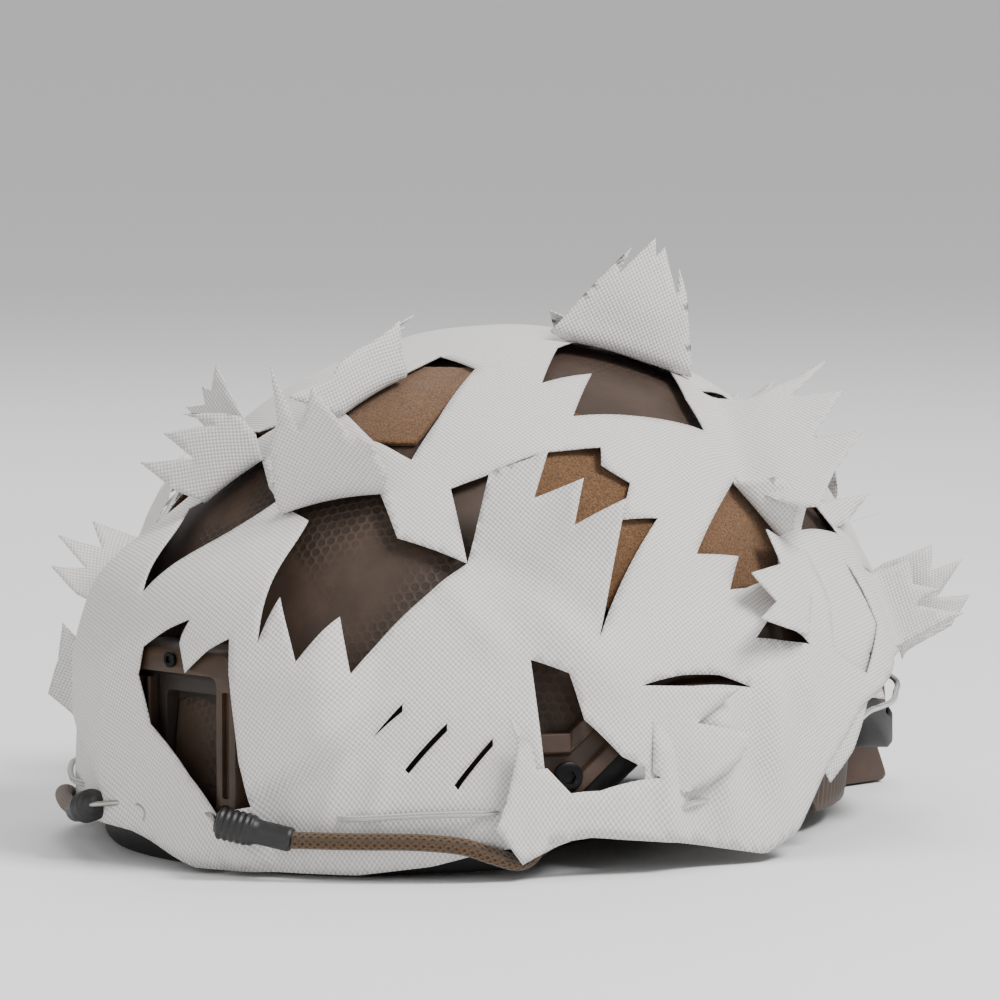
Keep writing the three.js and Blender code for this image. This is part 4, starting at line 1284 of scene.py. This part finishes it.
def common_leaf(index, lon, lat, heading, length, width, lift):
    """A leaf of the usual cut, with its hole, at one place and heading."""
    length, width = length * COMMON_SCALE[0], width * COMMON_SCALE[1]
    middle = turn_of((lon, lat))[0]
    turn = math.radians(lon + heading)
    ahead = np.array([math.sin(turn), -math.cos(turn)])
    across = np.array([ahead[1], -ahead[0]])
    teeth = [(a, c if index % 2 else -c) for a, c in LEAF_TEETH]
    if index % 2 == 0:
        teeth.reverse()
    corners = [middle + ahead * length * a + across * width * c for a, c in teeth]
    root = [middle - across * width / 2, middle + across * width / 2]
    outline = [(length * a * MM_PER_DEGREE, width * c * MM_PER_DEGREE) for a, c in teeth]
    root, hole = (tuple(zip(*angles_of(points))) for points in (root, corners))
    return dict(name=f"leaf_{index}", lift=lift, root=root, hole=hole, outline=outline)


def turn_of(points):
    """Cloth plane coordinates from (angle round, angle up): the crown is in the middle."""
    points = np.asarray(points, float).reshape(-1, 2)
    reach = 90 - points[:, 1]
    angle = np.radians(points[:, 0])
    return np.stack([reach * np.sin(angle), -reach * np.cos(angle)], -1)


def angles_of(flat):
    flat = np.asarray(flat, float).reshape(-1, 2)
    lon = np.degrees(np.arctan2(flat[:, 0], -flat[:, 1]))
    return lon, 90 - np.linalg.norm(flat, axis=1)


def fold_share(lon, lat, start, end, width):
    """How much of a fold's height a place gets: all of it on the line, and none past its ends."""
    start, end = np.array(start, float), np.array(end, float)
    run = end - start
    share = ((lon - start[0]) * run[0] + (lat - start[1]) * run[1]) / (run @ run)
    aside = ((lat - start[1]) * run[0] - (lon - start[0]) * run[1]) / np.linalg.norm(run)
    return np.exp(-((aside / width) ** 2)) * smooth(share, 0, 0.35) * (1 - smooth(share, 0.65, 1))


def cloth_gap(lon, lat):
    """How far the cloth stands off the shell: over panels, rails, shroud, and in soft folds."""
    lon, lat = np.broadcast_arrays(np.asarray(lon, float), np.asarray(lat, float))
    lon = (lon + 180) % 360 - 180
    z = dome(lon, lat, 4.0)[..., 2]
    low = 1 - smooth(z, 74, 104)
    brow_end = 19 + 14 * smooth(z, 24, 46)
    brow = (1 - smooth(np.abs(lon) / brow_end, 0.74, 1)) * (1 - smooth(z, 76, 116)) * smooth(z, -4, 12)
    over_rails = low * (1 - 0.7 * smooth(np.abs(lon), 114, 132))
    gap = CLOTH_GAP + RAIL_GAP * over_rails
    turn, tilt = np.radians(np.minimum(np.abs(lon), 13)), np.radians(np.minimum(np.abs(lat), 18))
    shroud_gap = np.minimum(SHROUD_REACH / (np.cos(turn) * np.cos(tilt)) - HALF_LENGTH, 18.5)
    gap = gap * (1 - brow) + np.maximum(gap, shroud_gap) * brow
    for start, end, height, width in FOLDS:
        gap = gap + height * fold_share(lon, lat, start, end, width)
    spot = dome(lon, lat, 4.0)
    soft = 0.55 + 0.5 * ripple(spot, 62, 11) + 0.25 * ripple(spot, 27, 4)
    gap = gap + np.maximum(soft, 0) * (1.0 - 0.5 * low)
    hem = np.interp(lon, *zip(*HEM))
    near_hem = 1 - smooth(z - hem, 2, 26)
    away_from_cord = np.maximum(smooth(np.abs(lon), 47, 53), 1 - smooth(np.abs(lon), 12, 16))
    flutter = np.sin(np.radians(lon) * 17 + 0.7 * np.sin(np.radians(lon) * 5)) * 0.5 + 0.5
    gap = gap + near_hem * (0.5 + 2.6 * flutter) * (0.25 + 0.75 * away_from_cord)
    return gap


def cloth_point(lon, lat):
    return dome(lon, lat, cloth_gap(lon, lat))


def hem_outline():
    lon = np.arange(-180, 180, 0.75)
    z = np.interp(lon, *zip(*HEM))
    gap = cloth_gap(lon, latitude(z, 9.0))
    return np.stack([lon, latitude(z, gap)], -1)


def resample(corners, step, closed=True):
    """Cut a run of straight lines into short pieces of about `step`."""
    corners = np.asarray(corners, float)
    ends = np.vstack([corners[1:], corners[:1]]) if closed else corners[1:]
    points = []
    for a, b in zip(corners, ends):
        count = max(1, round(float(np.linalg.norm(b - a)) / step))
        points += [a + (b - a) * k / count for k in range(count)]
    if not closed:
        points.append(corners[-1])
    return np.array(points)


def inside(points, outline):
    """Which points lie inside a closed outline."""
    x, y = points[:, 0][:, None], points[:, 1][:, None]
    ax, ay = outline[:, 0], outline[:, 1]
    bx, by = np.roll(ax, -1), np.roll(ay, -1)
    with np.errstate(divide="ignore", invalid="ignore"):
        cross = (ay > y) != (by > y)
        where = (bx - ax) * (y - ay) / (by - ay) + ax
    return (cross & (x < where)).sum(1) % 2 == 1


class Leaf:
    """One leaf's hinge line and the way it bends."""

    def __init__(self, name, root, hole, outline, lift, curl=0.0):
        self.name = name
        self.root = turn_of(root)
        self.hole = turn_of([*root, *hole])
        self.outline = np.array([(across, along) for along, across in outline], float)
        self.lift = lift
        self.curl = curl
        start, end = (cloth_point(*angles_of(point))[0] for point in self.root)
        self.middle = cloth_point(*angles_of(self.root.mean(0)))[0]
        self.width = np.linalg.norm(end - start)
        self.across = (end - start) / self.width
        normal = outward(self.middle)
        normal = normal - self.across * (normal @ self.across)
        self.normal = normal / np.linalg.norm(normal)
        self.ahead = np.cross(self.normal, self.across)

    def hinge_spot(self, across):
        """The place on the hinge line at a distance across, and how far past its ends that is."""
        share = across / self.width + 0.5
        kept = np.clip(share, 0, 1)
        flat = self.root[0] + (self.root[1] - self.root[0]) * kept[:, None]
        return angles_of(flat), (share - kept) * self.width

    def slope(self, along):
        """The leaf's angle to the cloth, in radians, at distances out along it."""
        return np.radians(self.lift * smooth(np.abs(along), 0, LEAF_SOFTNESS) + self.curl * along)

    def bend(self, along, across):
        """Points of the leaf at distances out along it and across it."""
        total = np.zeros((2, len(along)))
        for k in range(LEAF_BEND_STEPS):
            angle = self.slope(along * (k + 0.5) / LEAF_BEND_STEPS)
            total += np.stack([np.cos(angle), np.sin(angle)]) * along / LEAF_BEND_STEPS
        last = self.slope(along)
        face = -self.ahead * np.sin(last)[:, None] + self.normal * np.cos(last)[:, None]
        spots, past = self.hinge_spot(across)
        points = cloth_point(*spots) + self.across * past[:, None]
        points = points + self.ahead * total[0][:, None] + self.normal * total[1][:, None]
        waves = 0.7 * ripple(points, 34, len(self.name)) * smooth(along, 3, 20)
        return points + face * waves[:, None]

    def pattern(self, along, across):
        """Where the leaf lies in the cloth's weave."""
        flank = nearest_flank(self.root.mean(0)[None])[0]
        middle, end, front = chart(*angles_of([self.root.mean(0), self.root[1], self.hole.mean(0)]), flank)
        side = (end - middle) / np.linalg.norm(end - middle)
        way = (front - middle) - side * ((front - middle) @ side)
        way = way / np.linalg.norm(way)
        spots, past = self.hinge_spot(across)
        return chart(*spots, flank) + way * along[:, None] + side * past[:, None]


def nearest_flank(flat):
    lon, _ = angles_of(flat)
    return flank_of(lon)


def outline_edges(count, start=0):
    return [(start + k, start + (k + 1) % count) for k in range(count)]


def filled(outline, holes, step):
    """Triangles that fill an outline around its holes.

    Gives the points, the triangles, each hole's point numbers and the outline's point numbers.
    """
    low, high = outline.min(0), outline.max(0)
    rows = np.arange(low[1] + step / 2, high[1], step * 0.87)
    grid = []
    for j, y in enumerate(rows):
        for x in np.arange(low[0] + step / 2 * (j % 2), high[0], step):
            grid.append((x, y))
    grid = np.array(grid)
    loops = [outline, *holes]
    keep = inside(grid, outline)
    for hole in holes:
        keep &= ~inside(grid, hole)
    border = np.concatenate(loops)
    grid = grid[keep]
    near = np.array([np.min(((border - point) ** 2).sum(1)) for point in grid])
    grid = grid[near > (0.55 * step) ** 2]
    points = np.concatenate([border, grid])
    edges, start, numbers = [], 0, []
    for loop in loops:
        edges += outline_edges(len(loop), start)
        numbers.append(list(range(start, start + len(loop))))
        start += len(loop)
    found = delaunay_2d_cdt([Vector(p) for p in points.tolist()], edges, [], 0, 1e-7)
    corners = np.array([tuple(v) for v in found[0]])
    source = {}
    for new, olds in enumerate(found[3]):
        for old in olds:
            source[old] = new
    triangles = np.array([tuple(face) for face in found[2]])
    centres = corners[triangles].mean(1)
    keep = inside(centres, outline)
    for hole in holes:
        keep &= ~inside(centres, hole)
    border_numbers, *hole_numbers = [[source[n] for n in loop] for loop in numbers]
    return corners, triangles[keep], hole_numbers, border_numbers


def cut_cloth():
    """The cloth as one sheet: points, triangles, and each triangle corner's place in the weave."""
    specs = LEAVES + [common_leaf(k, *row) for k, row in enumerate(COMMON_LEAVES)]
    leaves = [Leaf(**spec) for spec in specs]
    cuts = [resample(leaf.hole, 1.1) for leaf in leaves]
    cuts += [resample(turn_of(corners), 1.1) for corners in OPEN_CUTS.values()]
    flat, triangles, loops, _ = filled(resample(turn_of(hem_outline()), 1.2), cuts, CLOTH_STEP)
    lon, lat = angles_of(flat)
    points = [cloth_point(lon, lat)]
    flank = nearest_flank(flat[triangles].mean(1))[:, None]
    weave = [chart(lon[triangles], lat[triangles], flank).reshape(-1, 2)]
    faces = [tuple(face) for face in triangles.tolist()]
    total = len(flat)
    for leaf, loop in zip(leaves, loops):
        count = max(1, round(float(np.linalg.norm(leaf.root[1] - leaf.root[0])) / 1.1))
        hinge = [((k / count - 0.5) * leaf.width, 0.0) for k in range(count + 1)]
        rest = resample(np.vstack([hinge[-1], leaf.outline, hinge[0]]), 2.2, closed=False)[1:-1]
        corners, parts, _, border = filled(np.vstack([hinge, rest]), [], 2.4)
        shared = {border[k]: loop[k] for k in range(count + 1)}
        numbers = []
        fresh = []
        for k in range(len(corners)):
            if k in shared:
                numbers.append(shared[k])
            else:
                numbers.append(total + len(fresh))
                fresh.append(k)
        total += len(fresh)
        across, along = corners[fresh].T
        points.append(leaf.bend(along, across))
        every_across, every_along = corners.T
        weave.append(leaf.pattern(every_along, every_across)[parts.ravel()])
        faces += [tuple(numbers[v] for v in face) for face in parts.tolist()]
    return np.concatenate(points), faces, np.concatenate(weave)


def mesh_area(points, faces):
    a, b, c = (points[[face[k] for face in faces]] for k in range(3))
    return float(np.linalg.norm(np.cross(b - a, c - a), axis=1).sum() / 2)


def build_cover(sizes):
    """The snow cover, one cut and bent sheet, worn over everything outside the shell."""
    points, faces, weave = cut_cloth()
    area = mesh_area(points * MM, faces)
    cover = add_object("snow_cover", points, faces)
    layer = cover.data.uv_layers.new(name="UVMap")
    layer.data.foreach_set("uv", (weave * MM).astype(np.float32).ravel())
    settle(cover, ("SOLIDIFY", dict(thickness=sizes.cloth_thickness, offset=0.0, use_even_offset=False)))
    finish_piece(cover, material("snow_cloth"), stands_for=("snow_cover",))
    return cover


def build_elastic(sizes):
    """The white elastic cord that runs through the cover's hem."""
    lon = np.arange(26, 335, 4)
    turn = (lon + 180) % 360 - 180
    z = along_stops(ELASTIC_STOPS, turn)
    shown = smooth(np.abs(turn), 26, 30) * (1 - smooth(np.abs(turn), 47, 51))
    shown = shown + smooth(np.abs(turn), 68, 71) * (1 - smooth(np.abs(turn), 76, 79))
    out = 8.4 + 3.8 * shown - 4 * smooth(np.abs(turn), 116, 132)
    route = dome(turn, latitude(z, out), out)
    cord = sweep("hem_elastic", route, lambda share: sizes.cord_diameter / MM / 2, 420, sides=10)
    finish_piece(cord, material("white_braid"), stands_for=("hem_elastic",))


# ---------------------------------------------------------------- stage
LIGHT_AIM = (0, 0, 90)
# Soft square lights: name, place from the aim in metres, side in metres, power in watts.
LIGHTS = (
    ("key", (1.1, 0.2, 1.3), 0.6, 36),
    ("fill", (0.3, -1.9, 0.7), 1.4, 10),
    ("rear", (-1.1, 0.8, 1.3), 1.0, 14),
)
CAMERA_AIM = (0, 0, 108)
CAMERA_TURN = 44                # degrees round from straight in front
CAMERA_RISE = 5.5               # degrees up
CAMERA_DISTANCE = 2.5           # metres
CAMERA_LENS = 270
SENSOR_WIDTH = 36


def add_light(name, place, size, power):
    """A square soft light aimed at the middle of the helmet."""
    data = bpy.data.lights.new(name, "AREA")
    data.shape = "SQUARE"
    data.size = size
    data.energy = power
    lamp = bpy.data.objects.new(name, data)
    aim = Vector(to_row(LIGHT_AIM)[0])
    lamp.location = aim + Vector(place)
    lamp.rotation_euler = (aim - lamp.location).to_track_quat("-Z", "Y").to_euler()
    bpy.context.scene.collection.objects.link(lamp)
    return lamp


def build_stage(sizes):
    """A plain pale floor, soft lights and the camera."""
    half = sizes.floor_size / 2
    corners = np.array([(-half, -half, 0), (half, -half, 0), (half, half, 0), (-half, half, 0)])
    floor = add_object("floor", corners / MM - (0, 0, sizes.floor_drop / MM), [(0, 1, 2, 3)])
    floor.data.materials.append(material("plain_floor"))
    lights = [add_light(*light) for light in LIGHTS]
    world = bpy.data.worlds.new("studio")
    world.use_nodes = True
    background = world.node_tree.nodes["Background"]
    background.inputs["Color"].default_value = (1, 1, 1, 1)
    background.inputs["Strength"].default_value = sizes.surround_light
    bpy.context.scene.world = world
    camera = bpy.data.objects.new("camera", bpy.data.cameras.new("camera"))
    bpy.context.scene.collection.objects.link(camera)
    turn = math.radians(CAMERA_TURN)
    rise = math.radians(CAMERA_RISE)
    back = Vector((math.sin(turn) * math.cos(rise), -math.cos(turn) * math.cos(rise), math.sin(rise)))
    camera.location = Vector(to_row(CAMERA_AIM)[0]) + back * CAMERA_DISTANCE
    camera.rotation_euler = back.to_track_quat("Z", "Y").to_euler()
    camera.data.lens = CAMERA_LENS
    camera.data.sensor_width = SENSOR_WIDTH
    bpy.context.scene.camera = camera


# ---------------------------------------------------------------- add-on
class HelmetSizes(bpy.types.PropertyGroup):
    """The sizes and the surround light that a user would change."""

    cloth_thickness: bpy.props.FloatProperty(
        name="Cloth thickness", description="Thickness of the cover's cloth", default=0.0005, unit="LENGTH")
    cloth_width: bpy.props.FloatProperty(
        name="Cloth width", description="Flat width of the cover, across the head", default=0.42,
        unit="LENGTH")
    cloth_length: bpy.props.FloatProperty(
        name="Cloth length", description="Flat length of the cover, brow to nape", default=0.44,
        unit="LENGTH")
    cord_diameter: bpy.props.FloatProperty(
        name="Cord diameter", description="Diameter of the hem's elastic cord", default=0.002, unit="LENGTH")
    floor_size: bpy.props.FloatProperty(
        name="Floor size", description="Side of the square floor", default=30.0, unit="LENGTH")
    floor_drop: bpy.props.FloatProperty(
        name="Floor drop", description="How far the floor lies below the helmet", default=0.0, unit="LENGTH")
    surround_light: bpy.props.FloatProperty(
        name="Surround light", description="Brightness of the white surround", default=0.6, unit="NONE")


class BuildPiece:
    """What every build operator shares: it builds with the scene's sizes."""

    bl_options = {"REGISTER", "UNDO"}

    def execute(self, context):
        self.build(context.scene.helmet_sizes)
        return {"FINISHED"}


class HELMET_OT_shell(BuildPiece, bpy.types.Operator):
    """Build the scale-textured shell."""

    bl_idname = "helmet.shell"
    bl_label = "Helmet shell"
    build = staticmethod(build_shell)


class HELMET_OT_trim(BuildPiece, bpy.types.Operator):
    """Build the rubber trim round the rim."""

    bl_idname = "helmet.trim"
    bl_label = "Edge trim"
    build = staticmethod(build_trim)


class HELMET_OT_panels(BuildPiece, bpy.types.Operator):
    """Build the loop fabric panels stuck to the shell."""

    bl_idname = "helmet.panels"
    bl_label = "Loop panels"
    build = staticmethod(build_panels)


class HELMET_OT_shroud(BuildPiece, bpy.types.Operator):
    """Build the front mounting shroud and its plate."""

    bl_idname = "helmet.shroud"
    bl_label = "Front shroud"
    build = staticmethod(build_shroud)


class HELMET_OT_rails(BuildPiece, bpy.types.Operator):
    """Build the two accessory rails and their bolts."""

    bl_idname = "helmet.rails"
    bl_label = "Side rails"
    build = staticmethod(build_rails)


class HELMET_OT_bungees(BuildPiece, bpy.types.Operator):
    """Build the two bungee cords with their sleeves and hooks."""

    bl_idname = "helmet.bungees"
    bl_label = "Front bungees"
    build = staticmethod(build_bungees)


class HELMET_OT_pads(BuildPiece, bpy.types.Operator):
    """Build the liner pads and the nape pad."""

    bl_idname = "helmet.pads"
    bl_label = "Liner pads"
    build = staticmethod(build_pads)


class HELMET_OT_dial(BuildPiece, bpy.types.Operator):
    """Build the studded dial at the nape and its axle."""

    bl_idname = "helmet.dial"
    bl_label = "Fit dial"
    build = staticmethod(build_dial)


class HELMET_OT_nape(BuildPiece, bpy.types.Operator):
    """Build the yoke and its two arms behind the head."""

    bl_idname = "helmet.nape"
    bl_label = "Nape yoke"
    build = staticmethod(build_nape)


class HELMET_OT_harness(BuildPiece, bpy.types.Operator):
    """Build the webbing straps inside the helmet."""

    bl_idname = "helmet.harness"
    bl_label = "Chin harness"
    build = staticmethod(build_harness)


class HELMET_OT_buckle(BuildPiece, bpy.types.Operator):
    """Build the two halves of the chin buckle."""

    bl_idname = "helmet.buckle"
    bl_label = "Chin buckle"
    build = staticmethod(build_buckle)


class HELMET_OT_cover(BuildPiece, bpy.types.Operator):
    """Build the leaf-cut white cloth cover."""

    bl_idname = "helmet.cover"
    bl_label = "Snow cover"
    build = staticmethod(build_cover)


class HELMET_OT_elastic(BuildPiece, bpy.types.Operator):
    """Build the white elastic cord in the cover's hem."""

    bl_idname = "helmet.elastic"
    bl_label = "Hem elastic"
    build = staticmethod(build_elastic)


class HELMET_OT_stage(BuildPiece, bpy.types.Operator):
    """Build the floor, the lights and the camera."""

    bl_idname = "helmet.stage"
    bl_label = "Stage"
    build = staticmethod(build_stage)


OPERATORS = (
    HELMET_OT_shell, HELMET_OT_trim, HELMET_OT_panels, HELMET_OT_shroud, HELMET_OT_rails,
    HELMET_OT_bungees, HELMET_OT_pads, HELMET_OT_dial, HELMET_OT_nape, HELMET_OT_harness,
    HELMET_OT_buckle, HELMET_OT_cover, HELMET_OT_elastic, HELMET_OT_stage,
)


class HELMET_PT_build(bpy.types.Panel):
    """The sidebar panel with the sizes and a button for each piece."""

    bl_idname = "HELMET_PT_build"
    bl_label = "Helmet"
    bl_space_type = "VIEW_3D"
    bl_region_type = "UI"
    bl_category = "Helmet"

    def draw(self, context):
        for name in HelmetSizes.__annotations__:
            self.layout.prop(context.scene.helmet_sizes, name)
        for operator in OPERATORS:
            self.layout.operator(operator.bl_idname)


def register():
    for kind in (HelmetSizes, *OPERATORS, HELMET_PT_build):
        bpy.utils.register_class(kind)
    bpy.types.Scene.helmet_sizes = bpy.props.PointerProperty(type=HelmetSizes)


def unregister():
    del bpy.types.Scene.helmet_sizes
    for kind in (HELMET_PT_build, *reversed(OPERATORS), HelmetSizes):
        bpy.utils.unregister_class(kind)


def main():
    register()
    for operator in OPERATORS:
        group, name = operator.bl_idname.split(".")
        if getattr(getattr(bpy.ops, group), name)() != {"FINISHED"}:
            raise RuntimeError(f"{operator.bl_label} wasn't built")


if __name__ == "__main__":
    main()
